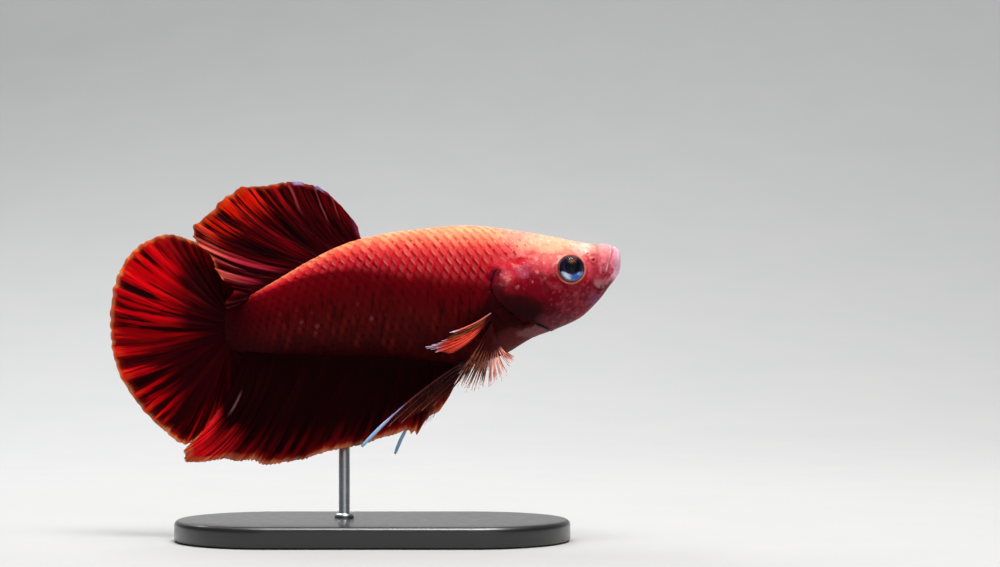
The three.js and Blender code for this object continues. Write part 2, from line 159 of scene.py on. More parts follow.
def shingles(a, b, pitch, rise):
    """Height from 0 to 1 of overlapping round plates: each tilts up towards the rear, a, and the
    highest plate at a point hides the others. Every second row is set half a pitch along."""
    radius = 0.78 * pitch
    height = np.zeros_like(a)
    row = np.floor(b / rise)
    for up in (-1, 0, 1, 2):
        centre_b = (row + up) * rise
        shift = 0.5 * pitch * ((row + up) % 2)
        column = np.floor((a - shift) / pitch)
        for back in (-1, 0, 1):
            da = a - shift - (column + back) * pitch
            inside = smooth(radius, 0.86 * radius, np.hypot(da, 0.8 * (b - centre_b)))
            height = np.maximum(height, inside * (0.5 + 0.5 * da / radius))
    return height


# Lines of the head in side view, each from low to high: x and z from the tail root.
CLEFT = [[42.5, 5.2], [43.0, 5.65], [43.32, 6.3], [43.61, 7.47], [43.87, 8.64], [43.86, 9.8]]
LIP_GROOVE = [[41.7, 5.0], [41.79, 5.66], [42.01, 6.46], [42.23, 7.91], [42.19, 9.36], [42.15, 10.2]]
LIP_FRONT = [[42.9, 4.4], [43.7, 5.3], [44.3, 6.2], [44.75, 7.4], [44.6, 8.6], [44.2, 9.4]]
GILL_EDGE = [[37.1, -1.1], [36.4, -0.58], [35.2, -0.05], [33.7, 0.64], [32.0, 1.66], [30.8, 2.68],
             [30.1, 3.55], [29.87, 4.4], [30.0, 5.3], [30.3, 6.1], [30.9, 6.9]]
COVER_RIM = [[36.0, 1.1], [34.6, 2.2], [33.1, 3.5], [32.3, 4.4], [31.5, 5.0], [31.1, 5.73],
             [30.96, 6.53], [31.5, 7.2]]
PREOPERCLE = [[36.2, 0.6], [36.9, 2.1], [36.7, 3.2], [36.3, 4.1], [35.6, 5.4], [35.2, 6.6], [35.3, 7.4]]
EYE_X, EYE_Z = 39.0, 6.55
EYE_OPENING = 1.5
NOSTRILS = [(41.6, 7.6, 0.17), (40.95, 8.35, 0.13)]


def head_relief(x, z):
    """Height of the head's folds above the plain loft, as a sum of grooves, steps and swellings
    that follow the lines of the head, and the marks for painting them, among them painted shade
    in the folds and between the cheek's plates and painted highlights along the edges."""
    cleft = line_offset(x, z, CLEFT)
    groove = line_offset(x, z, LIP_GROOVE)
    front = line_offset(x, z, LIP_FRONT)
    mouth = smooth(5.0, 5.6, z)
    upper_lip = np.clip(groove, 0, None) / np.maximum(groove - cleft, 0.2) * (cleft < 0)
    lower_lip = np.clip(cleft / np.maximum(cleft - front, 0.25), 0, 1)
    height = -(0.16 + 0.3 * smooth(7.6, 9.0, z)) * bump(cleft, 0.11) * mouth
    height += 0.17 * np.sin(np.pi * np.clip(upper_lip, 0, 1)) * mouth
    height += 0.1 * np.sin(np.pi * lower_lip) * mouth
    height -= 0.13 * bump(groove, 0.14) * smooth(5.2, 6.4, z)
    height += 0.1 * bump(np.hypot(x - 42.6, 1.3 * (z - 5.2)), 0.5)

    eye = np.hypot(x - EYE_X, z - EYE_Z)
    height -= 1.5 * smooth(EYE_OPENING + 0.06, EYE_OPENING - 0.08, eye)
    height += 0.12 * bump(eye - 1.68, 0.16)
    height -= 0.05 * bump(eye - 2.15, 0.2)

    pits = np.zeros_like(x)
    for pit_x, pit_z, size in NOSTRILS:
        away = np.hypot(x - pit_x, z - pit_z)
        height += 0.1 * bump(away - 1.5 * size, 0.1) - 0.16 * bump(away, 0.75 * size)
        pits = np.maximum(pits, bump(away, 0.8 * size))

    gill = line_offset(x, z, GILL_EDGE)
    below_top = smooth(7.0, 6.2, z)
    behind = smooth(0.04, -0.1, gill)
    height -= 0.42 * behind * np.exp(np.minimum(gill, 0) / 0.8) * below_top
    height += 0.06 * bump(gill - 0.15, 0.2) * below_top
    rim = line_offset(x, z, COVER_RIM)
    in_cover = between(0.6, 1.6, 6.9, 7.4, z)
    height += 0.08 * between(-0.14, 0.06, 1.0, 3.5, rim) * in_cover
    cheek_line = line_offset(x, z, PREOPERCLE)
    in_cheek = between(0.6, 1.4, 6.4, 7.2, z)
    height -= 0.05 * bump(cheek_line, 0.2) * in_cheek
    height += 0.05 * bump(cheek_line - 0.4, 0.3) * in_cheek
    height += 0.12 * bump(np.hypot((x - 38.2) / 1.6, (z - 3.4) / 1.4), 1.0)

    plated = between(29.6, 30.4, 40.4, 41.6, x) * smooth(-0.1, 0.25, gill + 3 * (z > 6.9))
    plated = plated * smooth(1.9, 2.3, eye) * smooth(0.2, 1.0, z)
    plates = shingles(-x - 0.15 * z, z - 0.1 * x, 0.92, 0.5)
    height += 0.05 * (plates - 0.5) * plated

    # fold marks where painted shade goes: the mouth cleft, the lip groove, the nostril pits, the gill slit
    # and the cheek line
    fold = np.maximum.reduce([bump(cleft, 0.12) * mouth * (0.25 + 0.75 * smooth(7.4, 9.0, z)),
                              0.45 * bump(groove, 0.13) * smooth(5.2, 6.4, z), pits,
                              bump(gill + 0.1, 0.16) * below_top, 0.15 * bump(cheek_line, 0.2) * in_cheek])
    # edge marks where painted highlights go: along the lips and a stretch of the gill cover's rim
    edge = np.maximum.reduce([bump(cleft + 0.2, 0.11) * smooth(5.8, 6.8, z),
                              0.9 * bump(front + 0.12, 0.2) * mouth,
                              0.75 * bump(rim - 0.1, 0.1) * between(4.6, 5.2, 6.0, 6.6, z)])
    return height, {"fold": fold, "edge": edge, "lip": smooth(-0.1, 0.15, groove) * smooth(4.6, 5.8, z),
                    "ring": smooth(1.8, 1.62, eye), "plate": plates * plated}


def breast_relief(x, z):
    """Swelling of the flesh at the root of the pectoral fin, a bell in side view."""
    return 0.22 * bump(np.hypot((x - 30.6) / 0.9, (z - 0.3) / 1.6), 1.0)


def grid(rows, columns, closed):
    """Quads over a grid of points, and each corner's place in it from 0 to 1 both ways. A closed
    grid joins its last column to its first."""
    spans = columns if closed else columns - 1
    i, j = (a.ravel() for a in np.meshgrid(np.arange(rows - 1), np.arange(spans), indexing="ij"))
    corner_i = np.stack([i, i, i + 1, i + 1], 1)
    corner_j = np.stack([j, j + 1, j + 1, j], 1)
    return corner_i * columns + corner_j % columns, np.stack([corner_i / (rows - 1), corner_j / spans], 2)


def fan(ring, tip):
    """Triangles from the sides of a ring of point numbers to one tip."""
    return np.stack([ring, np.roll(ring, -1), np.full(len(ring), tip)], 1)


def repeated(faces, count, stride):
    """The faces of one of many equal bodies, copied for all, each with a stride of points."""
    offsets = (np.arange(count) * stride)[:, None, None]
    return [(offsets + part).reshape(-1, part.shape[1]) for part in faces]


def add_object(name, data):
    """A new object in the scene, at the origin."""
    made = bpy.data.objects.new(name, data)
    bpy.context.scene.collection.objects.link(made)
    return made


def add_piece(name, points, faces, material, maps=None, marks=None):
    """A closed, smooth-shaded mesh at the origin. The points are millimetres from the tail root;
    faces turn outwards by the sign of the volume they enclose. Maps are corner or point UVs."""
    points = (np.asarray(points, float).reshape(-1, 3) + [ROOT_X, 0, ROOT_Z]) * MM
    faces = [np.asarray(f) for f in faces]
    fans = [f[:, [0, k, k + 1]] for f in faces for k in range(1, f.shape[1] - 1)]
    a, b, c = (points[np.concatenate(fans)[:, k]] - points.mean(0) for k in range(3))
    inward = np.einsum("ij,ij->", a, np.cross(b, c)) < 0
    if inward:
        faces = [f[:, ::-1] for f in faces]
    mesh = bpy.data.meshes.new(name)
    mesh.from_pydata(points.tolist(), [], [row for f in faces for row in f.tolist()])
    mesh.polygons.foreach_set("use_smooth", np.ones(len(mesh.polygons), bool))
    corners = np.concatenate([f.ravel() for f in faces])
    for key, values in (maps or {}).items():
        layer = mesh.uv_layers.new(name=key)
        if isinstance(values, list):
            values = np.concatenate([(v[:, ::-1] if inward else v).reshape(-1, 2) for v in values])
        else:
            values = values.reshape(-1, 2)[corners]
        layer.data.foreach_set("uv", values.ravel())
    for key, values in (marks or {}).items():
        layer = mesh.attributes.new(key, "FLOAT", "POINT")
        layer.data.foreach_set("value", np.asarray(values, float).ravel())
    mesh.materials.append(material)
    mesh.update()
    return add_object(name, mesh)


def shade(red, green, blue):
    """Linear colour from the 0 to 255 steps of a screen colour."""
    steps = np.array([red, green, blue]) / 255
    linear = np.where(steps <= 0.04045, steps / 12.92, ((steps + 0.055) / 1.055) ** 2.4)
    return (*linear.tolist(), 1.0)


class Wire:
    """A node's output. + - * / between wires and plain numbers add Math nodes."""

    def __init__(self, tree, output=None):
        self.tree = tree
        self.output = output

    def node(self, kind, inputs=None, output=0, **settings):
        """Adds one shader node: its settings first, then the value or the wire of each socket."""
        made = self.tree.nodes.new("ShaderNode" + kind)
        for key, value in settings.items():
            setattr(made, key, value)
        for key, value in (inputs or {}).items():
            if isinstance(value, Wire):
                self.tree.links.new(value.output, made.inputs[key])
            else:
                made.inputs[key].default_value = value
        return Wire(self.tree, made.outputs[output] if len(made.outputs) else None)

    def math(self, operation, a, b=0.0): return self.node("Math", {0: a, 1: b}, operation=operation)
    def __add__(self, other): return self.math("ADD", self, other)
    def __radd__(self, other): return self.math("ADD", other, self)
    def __sub__(self, other): return self.math("SUBTRACT", self, other)
    def __rsub__(self, other): return self.math("SUBTRACT", other, self)
    def __neg__(self): return self.math("SUBTRACT", 0.0, self)
    def __mul__(self, other): return self.math("MULTIPLY", self, other)
    def __rmul__(self, other): return self.math("MULTIPLY", other, self)
    def __truediv__(self, other): return self.math("DIVIDE", self, other)
    def root(self): return self.math("SQRT", self)
    def size(self): return self.math("ABSOLUTE", self)
    def most(self, other): return self.math("MAXIMUM", self, other)

    def step(self, low, high):
        """Smooth mask, 0 at low and 1 at high, either way round."""
        if low > high:
            return 1.0 - self.step(high, low)
        return self.node("MapRange", {"Value": self, "From Min": low, "From Max": high},
                         interpolation_type="SMOOTHSTEP")

    def frayed(self, grain, amount):
        """This number moved up and down by a noise."""
        return self + (grain - 0.5) * amount

    def between(self, low, full, still, high):
        """Mask that rises from low to full and falls from still to high."""
        return self.step(low, full) * self.step(high, still)

    def mix(self, a, b):
        """Colour a where this mask is 0, b where it is 1."""
        return self.node("Mix", {0: self, 6: a, 7: b}, output=2, data_type="RGBA")

    def under(self, mask, red, green, blue):
        """This colour with a screen colour laid over it where the mask is 1."""
        return mask.mix(self, shade(red, green, blue))

    def layered(self, *layers):
        """This colour under several layers in turn, each a mask and a screen colour."""
        colour = self
        for mask, *tone in layers:
            colour = colour.under(mask, *tone)
        return colour

    def ramp(self, *stops):
        """Colour along this number, through rows of place, red, green and blue."""
        made = self.node("ValToRGB", {0: self})
        elements = made.output.node.color_ramp.elements
        while len(elements) < len(stops):
            elements.new(0.5)
        for element, (place, *tone) in zip(elements, stops):
            element.position = place
            element.color = shade(*tone)
        return made

    def noise(self, place, scale, detail=2.0, rough=0.5):
        return self.node("TexNoise", {"Vector": place, "Scale": scale, "Detail": detail,
                                      "Roughness": rough})

    def dents(self, height, strength, distance):
        """Normal of a surface dented by this height, with the distance in metres."""
        return self.node("Bump", {"Strength": strength, "Distance": distance, "Height": height})

    def mark(self, name):
        """A number stored on the mesh's points."""
        return self.node("Attribute", output="Fac", attribute_name=name)

    def place(self):
        """Object coordinates."""
        return self.node("TexCoord", output="Object")

    def vector(self, x, y, z):
        return self.node("CombineXYZ", {0: x, 1: y, 2: z})

    def axes(self, vector):
        """The three parts of a vector."""
        parts = self.node("SeparateXYZ", {0: vector}).output.node.outputs
        return [Wire(self.tree, parts[k]) for k in range(3)]


def new_material(name):
    """An empty material, and a wire to build on it."""
    material = bpy.data.materials.new(name)
    material.use_nodes = True
    material.node_tree.nodes.clear()
    return material, Wire(material.node_tree)


def finish_material(start, **inputs):
    """The Principled shader with these sockets, joined to the output."""
    named = {key.replace("_", " "): value for key, value in inputs.items()}
    start.node("OutputMaterial", {"Surface": start.node("BsdfPrincipled", named)})


def fish_place(start):
    """Object coordinates, and how far along and up they are in millimetres from the tail root."""
    place = start.place()
    x, _, z = start.axes(place)
    return place, x / MM - ROOT_X, z / MM - ROOT_Z


def patch(x, z, centre_x, centre_z, reach_x, reach_z):
    """Mask of a soft oval: 1 inside, fading to 0 at its reach."""
    dx = (x - centre_x) / reach_x
    dz = (z - centre_z) / reach_z
    return (dx * dx + dz * dz).step(1.0, 0.25)


GILL_X = 30.0              # behind this the bright back thins out towards the tail
THIN_AT_GILL, THIN_BEHIND = 1.12, 0.00016
LEAST_LEVEL = 0.62


def flank_level(x, back):
    """Height of a colour on the flank, 1 at the crest: 1 - (1 - back) (a + b r^3), where r is the
    distance behind the gill."""
    behind = (GILL_X - x).most(0.0)
    thinning = THIN_AT_GILL + behind * behind * behind * THIN_BEHIND
    return (1.0 - (1.0 - back) * thinning).most(back * LEAST_LEVEL)


# Soft ovals of the head's colour: centre and reach along and up, amount, colour. The near-black ovals
# under and behind the gill cover and the dark spot at the top of the gill opening are painted
# shade, the lilac oval at the front of the lower jaw is a painted sheen, and the cream ovals over
# the head are partly painted light.
HEAD_PATCHES = (
    ((35.2, 4.3, 4.0, 2.4), 0.9, (114, 0, 20)), ((32.8, 1.7, 5.0, 2.4), 0.85, (32, 2, 3)),
    ((31.2, 0.6, 5.6, 2.6), 0.85, (34, 2, 3)), ((30.6, 3.2, 2.0, 2.8), 0.8, (38, 1, 5)),
    ((33.6, 6.2, 1.7, 0.9), 0.6, (184, 84, 112)), ((32.8, 7.3, 1.7, 0.7), 0.8, (204, 6, 32)),
    ((30.2, 5.8, 0.9, 0.9), 0.8, (44, 2, 26)), ((40.4, 2.9, 3.2, 2.8), 0.45, (132, 40, 52)),
    ((38.4, 0.3, 4.2, 1.3), 0.6, (84, 38, 46)), ((42.0, 3.0, 1.2, 1.5), 0.45, (118, 74, 112)),
    ((40.7, 8.9, 1.5, 0.9), 0.6, (246, 200, 186)), ((36.2, 9.4, 4.2, 1.1), 0.5, (246, 184, 144)),
    ((33.4, -2.1, 4.4, 2.3), 0.8, (88, 34, 33)), ((34.8, -0.9, 2.2, 0.8), 0.22, (176, 126, 134)),
)


def hide_colour(start, place, x, z, back, shift=0.0):
    """Body colour with its markings, for the hide and the scales alike. From the belly, back = 0, to
    the crest, back = 1, it runs brown-red, crimson, scarlet, coral and cream, partly the fish's own
    colour and partly painted light on the back and painted shade below; the head is pinker, with a
    crimson cheek, painted shade under and behind the gill cover, and a greyish breast, and painted
    shade darkens the tail root. Noise frays every edge, and each scale may be a shift lighter or
    darker than the next."""
    cloud = start.noise(place, 260.0, 3.0, 0.6)
    mottle = start.noise(place, 560.0, 3.0, 0.65)
    fine = start.noise(place, 1700.0, 3.0, 0.65)
    level = flank_level(x, back) + (cloud - 0.5) * 0.1 + shift
    # partly the fish's own colour, partly painted light on the back and painted shade towards the belly;
    # the cream laid along the crest next is partly painted light too
    flank = level.ramp(
        (0.0, 40, 2, 4), (0.1, 66, 8, 9), (0.2, 86, 8, 9), (0.36, 90, 0, 7),
        (0.54, 108, 0, 10), (0.6, 172, 6, 26), (0.7, 206, 28, 42),
        (0.82, 236, 80, 68), (1.0, 242, 156, 110))
    flank = flank.under(x.step(14.0, 31.0) * back.step(0.82, 0.97) * 0.75, 242, 168, 124)
    # painted shade over the tail root, under the dorsal fin's hind lobes
    painted_tail_root_shade = x.step(7.0, 0.0)
    flank = flank.under(painted_tail_root_shade * painted_tail_root_shade * 0.9, 44, 0, 5)
    stripes = start.noise(start.vector(x * 1.7, 0.0, z * 0.3), 1.0, 2.0)
    flank = flank.under(stripes.step(0.48, 0.36) * back.step(0.62, 0.5) * 0.6, 40, 1, 5)
    level = back + (mottle - 0.5) * 0.3 + (fine - 0.5) * 0.12
    # the head's ramp too is partly painted light on top and painted shade below
    colour = x.step(29.0, 33.0).mix(flank, level.ramp(
        (0.0, 104, 50, 60), (0.12, 98, 26, 38), (0.26, 96, 6, 20),
        (0.42, 122, 1, 20), (0.54, 186, 26, 46), (0.66, 230, 84, 94),
        (0.78, 236, 118, 112), (0.9, 238, 142, 122), (1.0, 238, 150, 128)))
    rosy = start.noise(place, 420.0, 2.0, 0.6).step(0.5, 0.6) * x.between(28.5, 30.5, 34.0, 38.0)
    colour = colour.under(rosy * back.between(0.5, 0.6, 0.8, 0.92) * 0.65, 226, 44, 64)
    frayed_x = x + (mottle - 0.5) * 3.0 + (fine - 0.5) * 0.8
    frayed_z = z + (cloud - 0.5) * 2.0 + (fine - 0.5) * 0.8
    for oval, amount, tone in HEAD_PATCHES:
        colour = colour.under(patch(frayed_x, frayed_z, *oval) * amount, *tone)
    return colour


skin_paint, start = new_material("fish_skin")
place, x, z = fish_place(start)
back = start.mark("back")
colour = hide_colour(start, place, x, z, back)
speckle = start.noise(place, 1500.0, 2.0, 0.6)
blotch = start.noise(place, 700.0, 2.0, 0.6)
freckle = start.noise(place, 2400.0, 1.5, 0.5)
round_spots = start.noise(place, 1500.0, 0.0)
flecks = start.noise(place, 2300.0, 0.0)
head = x.step(30.0, 34.0)
upper_face = x.step(33.0, 36.0) * back.step(0.5, 0.7)
lower_face = back.step(0.66, 0.5) * x.step(35.0, 38.0)
pale = round_spots.step(0.56, 0.72) * blotch.step(0.36, 0.56)
dark = flecks.step(0.42, 0.3)
colour = colour.layered(
    (pale * upper_face * 0.6, 255, 206, 190),
    (blotch.step(0.46, 0.7) * lower_face * 0.5, 176, 66, 78),
    (freckle.step(0.52, 0.76) * lower_face * 0.3, 200, 96, 104),
    (freckle.step(0.46, 0.26) * lower_face * 0.5, 72, 2, 12))
muzzle = patch(x, z, 41.4, 7.0, 1.0, 2.1)
colour = colour.under(muzzle * 0.6, 220, 74, 92)
colour = colour.under(dark * (muzzle * 0.5).most(upper_face * 0.25), 158, 12, 40)
# crimson flecks and pale pink ones behind the eye; the pale flecks are painted highlights on small bumps of
# the skin
crisp = start.noise(place, 1000.0, 3.0, 0.7)
behind_eye = patch(x, z, 33.0, 6.6, 4.0, 2.6)
colour = colour.layered(
    (crisp.step(0.53, 0.6) * behind_eye * 0.5, 186, 6, 34),
    (crisp.step(0.45, 0.38) * behind_eye * 0.42, 248, 156, 150),
    (patch(x, z, 42.5, 5.1, 1.0, 0.9) * blotch.step(0.35, 0.6) * 0.7, 238, 168, 168))
lip_level = (z + (freckle - 0.5) * 3.6 - 4.6) / 4.6
lip_colour = lip_level.ramp(
    (0.0, 206, 96, 112), (0.3, 172, 40, 58), (0.6, 246, 120, 134), (1.0, 255, 172, 172))
lip_colour = x.frayed(freckle, 0.8).step(43.6, 44.3).mix(lip_colour, shade(255, 178, 206))
colour = start.mark("lip").mix(colour, lip_colour)
colour = colour.under(start.mark("ring") * (0.15 + 0.6 * (x - z * 0.5).step(34.4, 36.0)), 240, 152, 128)
# painted shade where each small plate of the cheek and gill cover lies under the raised hind edge of the
# plate ahead
colour = colour.under(start.mark("plate").step(0.3, 0.0) * head * back.step(0.1, 0.3) * 0.3, 112, 4, 18)
# painted shade in the head's creases and pits, near black in the gill slit at the throat
crease_shade = start.mark("fold")
colour = colour.layered(
    (crease_shade * (0.15 + 0.5 * blotch.step(0.3, 0.6)), 96, 2, 20),
    (crease_shade * x.step(34.4, 35.2) * z.step(0.5, 0.0), 10, 4, 6),
    (patch(x, z + (x - 35.8) * 0.5, 35.8, -0.15, 1.1, 0.34), 8, 4, 6))
face = x.step(36.0, 38.0)
# painted highlights along the lips' edges and the gill cover's rim
painted_edge_highlight = start.mark("edge") * (0.3 + 0.7 * freckle.step(0.35, 0.6)) * (0.4 + 0.6 * face)
colour = colour.under(painted_edge_highlight * (0.35 + 0.65 * face), 246, 200, 212)
finish_material(start, Base_Color=colour, Roughness=0.46 + (blotch - 0.5) * 0.2,
                Normal=start.dents(speckle, 0.5, 0.00008), Subsurface_Weight=0.06,
                Subsurface_Radius=(1.0, 0.2, 0.15), Subsurface_Scale=0.0004, Specular_IOR_Level=0.05)

# Sections of the skin, closer together from the gills to the lips: from, to, how many.
SKIN_STATIONS = ((-1.3, 28, 92), (28, 37, 100), (37, 44.9, 149))
SKIN_AROUND = 272
TIP_IN = 0.06              # the closing points lie this far behind the end rings' middles
stations = np.concatenate([np.linspace(*span, endpoint=False) for span in SKIN_STATIONS]
                          + [[SKIN_STATIONS[-1][1]]])
skin_t, skin_angle = np.meshgrid(t_at(stations), np.arange(SKIN_AROUND) / SKIN_AROUND * TAU - TAU / 4,
                                 indexing="ij")
flesh = body_point(skin_t, skin_angle)
relief, marks = head_relief(flesh[..., 0], flesh[..., 2])
relief = relief + breast_relief(flesh[..., 0], flesh[..., 2])
hide = flesh + body_normal(skin_t, skin_angle) * (relief - SCALE_DEPTH)[..., None]
marks["back"] = flank_share(skin_t, flesh[..., 2])
tips = hide[[-1, 0]].mean(1) - [TIP_IN, 0, 0]
points = np.concatenate([hide.reshape(-1, 3), tips])
quads, corners = grid(len(stations), SKIN_AROUND, True)
around = np.arange(SKIN_AROUND)
snout_fan = fan((len(stations) - 1) * SKIN_AROUND + around, len(points) - 2)
tail_fan = fan(around, len(points) - 1)[:, [1, 0, 2]]
share = np.stack([around, around + 1, around + 0.5], 1) / SKIN_AROUND
fan_map = np.stack([np.ones_like(share), share], -1)
tail_map = fan_map[:, [1, 0, 2]] * [0.0, 1.0]
marks = {key: np.append(values.ravel(), [values[-1].mean(), values[0].mean()])
         for key, values in marks.items()}
skin = add_piece("skin", points, [quads, snout_fan, tail_fan], skin_paint,
                 {"unwrap": [corners, fan_map, tail_map]}, marks)
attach(skin, "root")
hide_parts("head", "upper_jaw", "lower_jaw", "gill_cover_right", "gill_cover_left", "trunk",
            "tail_stem")


# ------------------------------------------------------------------------------------------------
# The scales: thin horny plates in staggered rows from nape and breast to the tail root, each set
# in the skin by its front edge and lying over the next two behind. They are joined meshes, one a
# side, every plate bent to the flank beneath it.
PITCH = 1.05               # from plate to plate along a row
ROW_STEP = 1.0             # from row to row over the flank
ROW_SHIFT = 0.76           # how far a row lies in front of the row above it, in pitches
DEEPEST = 15               # depth of the trunk where the rows have their full step
PLATE_LENGTH = 0.86        # half of a plate along the fish
PLATE_HEIGHT = 1.04        # half of a plate up the flank
PLATE_LIFT, PLATE_TILT, PLATE_ROLL = 0.03, 0.075, 0.04   # its middle, its rise to the rear and down
PLATE_THICK, RIM_DROP = 0.2, 0.035
PLATE_AROUND = 12
PLATES_ALONG, ROWS_EACH_WAY = 46, 14
PLATE_MAP = 0.0015         # half of a plate's own patch on the flank's map
# The front limit of the plated hide in side view, low to high.
PLATED_FRONT = [[36.6, -2.4], [36.2, -0.9], [34.9, -0.2], [33.2, 0.6], [31.5, 1.6], [30.3, 2.7],
                [29.6, 3.6], [29.4, 4.6], [29.5, 5.6], [30.0, 6.6], [31.4, 7.6], [34.0, 8.5],
                [36.0, 9.4], [37.0, 10.4]]

ARC_STATIONS = np.linspace(-1.2, 40, 320)
ARC_ANGLES = np.linspace(-math.pi, math.pi, 1441)
ARC_STEPS = np.linspace(-24, 24, 961)
outline = body_point(t_at(ARC_STATIONS)[:, None], ARC_ANGLES[None, :])
lengths = np.concatenate([np.zeros((len(ARC_STATIONS), 1)),
                          np.cumsum(np.linalg.norm(np.diff(outline, axis=1), axis=-1), axis=1)], 1)
lengths -= lengths[:, [len(ARC_ANGLES) // 2]]
ANGLE_TABLE = np.stack([np.interp(ARC_STEPS, row, ARC_ANGLES) for row in lengths])
UPPER_GIRTH = np.array([np.interp(math.pi / 2, ARC_ANGLES, row) for row in lengths])
LOWER_GIRTH = np.array([np.interp(-math.pi / 2, ARC_ANGLES, row) for row in lengths])


def flank_angle(x, arc):
    """Angle of a point on the left flank from its place along the fish and its length over the
    flank from the widest level: straight-line interpolation in a table of section lengths."""
    i = np.clip((x - ARC_STATIONS[0]) / (ARC_STATIONS[1] - ARC_STATIONS[0]), 0, len(ARC_STATIONS) - 1.001)
    j = np.clip((arc - ARC_STEPS[0]) / (ARC_STEPS[1] - ARC_STEPS[0]), 0, len(ARC_STEPS) - 1.001)
    i0, j0 = i.astype(int), j.astype(int)
    fi, fj = i - i0, j - j0
    near = ANGLE_TABLE[i0, j0] * (1 - fj) + ANGLE_TABLE[i0, j0 + 1] * fj
    far = ANGLE_TABLE[i0 + 1, j0] * (1 - fj) + ANGLE_TABLE[i0 + 1, j0 + 1] * fj
    return near * (1 - fi) + far * fi


def plate_outline(turn):
    """Outline of one plate from its middle: a half oval in front, and behind it a blunt point,
    the curve |a|^1.35 + |b|^1.35 = 1."""
    a, b = np.cos(turn), np.sin(turn)
    power = np.where(a < 0, 1.35, 2.0)
    size = (np.abs(a) ** power + np.abs(b) ** power) ** (-1 / power)
    return a * size, b * size


# Places of the plates: columns along the fish and rows over the flank.
columns, rows = np.meshgrid(np.arange(PLATES_ALONG), np.arange(-ROWS_EACH_WAY, ROWS_EACH_WAY + 1),
                            indexing="ij")
columns, rows = columns.ravel() + (-ROW_SHIFT * rows.ravel()) % 1, rows.ravel()
near_place = 0.95 * np.arange(PLATES_ALONG)
COLUMN_PLACES = np.cumsum(np.append(-0.5, 0.8 + 0.25 * smooth(0, 9, near_place)
                                    - 0.2 * smooth(31, 37, near_place)))
centre_x = np.interp(columns, np.arange(len(COLUMN_PLACES)), COLUMN_PLACES)
_, top, bottom = spline(BODY[:, :3], t_at(centre_x)).T
row_step = ROW_STEP * ((top - bottom) / DEEPEST) ** 0.5
centre_arc = rows * row_step
upper = np.interp(centre_x, ARC_STATIONS, UPPER_GIRTH)
lower = np.interp(centre_x, ARC_STATIONS, LOWER_GIRTH)
centre_z = body_point(t_at(centre_x), flank_angle(centre_x, centre_arc))[:, 2]
keep = (centre_arc < upper - 0.1 * row_step) & (centre_arc > lower + 0.1 * row_step)
keep &= line_offset(centre_x, centre_z, PLATED_FRONT) < -0.15
centre_x, centre_arc, centre_z, row_step = (v[keep] for v in (centre_x, centre_arc, centre_z, row_step))
along_step = np.interp(centre_x, COLUMN_PLACES[:-1], np.diff(COLUMN_PLACES)) / PITCH
thinning = THIN_AT_GILL + THIN_BEHIND * np.maximum(GILL_X - centre_x, 0) ** 3
bright_back = 1 - (1 - flank_share(t_at(centre_x), centre_z)) * thinning
lift = (1 - 0.7 * smooth(30, 36, centre_x)) * (0.14 + 0.4 * smooth(0.42, 0.6, bright_back))
jitter = np.random.default_rng(7)
lift = lift * jitter.uniform(0.85, 1.15, len(lift))
plate_tone = jitter.uniform(0, 1, len(lift))

# One plate: rings from the middle to the rim, then the rim's lower edge, and a point above and below.
turn = np.arange(PLATE_AROUND) / PLATE_AROUND * TAU
ring_a, ring_b = plate_outline(turn)
ring_scale = np.array([0.5, 0.86, 1.0, 0.97])
plate_a, plate_b = (np.append(ring_scale[:, None] * ring, [0, 0]) for ring in (ring_a, ring_b))
drop = np.append(np.repeat([0.0, 0.0, RIM_DROP, PLATE_THICK], PLATE_AROUND), [0.0, PLATE_THICK])
plate_quads, _ = grid(4, PLATE_AROUND, True)
spokes = np.arange(PLATE_AROUND)
top_fan = fan(spokes, 4 * PLATE_AROUND)[:, [1, 0, 2]]
under_fan = fan(3 * PLATE_AROUND + spokes, 4 * PLATE_AROUND + 1)

scale_paint, start = new_material("scale_horn")
place, x, z = fish_place(start)
back, tone = start.mark("back"), start.mark("tone")
plate_u, plate_v, _ = start.axes(start.node("UVMap", uv_map="plate"))
pa, pb = plate_u * 2.0 - 1.0, plate_v * 2.0 - 1.0     # over the plate, to the snout and up
# the shift makes each plate darker towards its upper front, partly painted shade where the plate ahead
# overlaps it
colour = hide_colour(start, place, x, z, back, (tone - 0.5) * 0.06 - (pb + pa + 0.6) * 0.04)
speckle = start.noise(place, 1500.0, 2.0, 0.6)


def reach(a, b):
    """How far out a point lies in a pointed plate: |a| + |b| rounded by their squares."""
    return (a * a + b * b + a.size() * b.size() * 0.9).root()


NEXT_PLATE, NEXT_ROW = 1.22, 0.97   # steps to the next plate and row, in half plates
crest = back.step(0.88, 0.97)
level = flank_level(x, back)
upper_flank = level.step(0.5, 0.6) * x.step(38.0, 34.0)
lower_flank = level.step(0.56, 0.42)
worn = (speckle - 0.5) * 0.2
# dull rose middles on the flank, long brown-red ones below, with dark clefts between them
colour = colour.under((1.0 - tone) * upper_flank * 0.25, 196, 20, 32)
middle = reach(pa + 0.42, pb * 0.75).step(0.6, 0.15)
middle = middle * upper_flank * level.step(0.86, 0.72) * x.step(4.0, 10.0)
colour = colour.under(middle * (0.2 + 0.5 * tone), 156, 66, 64)
long_middle = reach((pa + 0.39) * 1.5, pb * 0.8 + worn).step(0.8, 0.1) * back.step(0.02, 0.12)
long_middle = long_middle * lower_flank * (0.04 + 0.4 * tone.step(0.35, 1.0))
long_middle = long_middle * (0.3 + 0.7 * back.step(0.48, 0.3))
colour = colour.under(long_middle * x.between(2.0, 7.0, 24.0, 30.0), 112, 30, 25)
cleft = reach((pa + 0.39).size() * 1.8 - 1.1, pb * 0.8).step(0.75, 0.1) * level.step(0.56, 0.48)
colour = colour.under(cleft * 0.75 * tone * x.step(30.0, 27.0), 30, 1, 4)
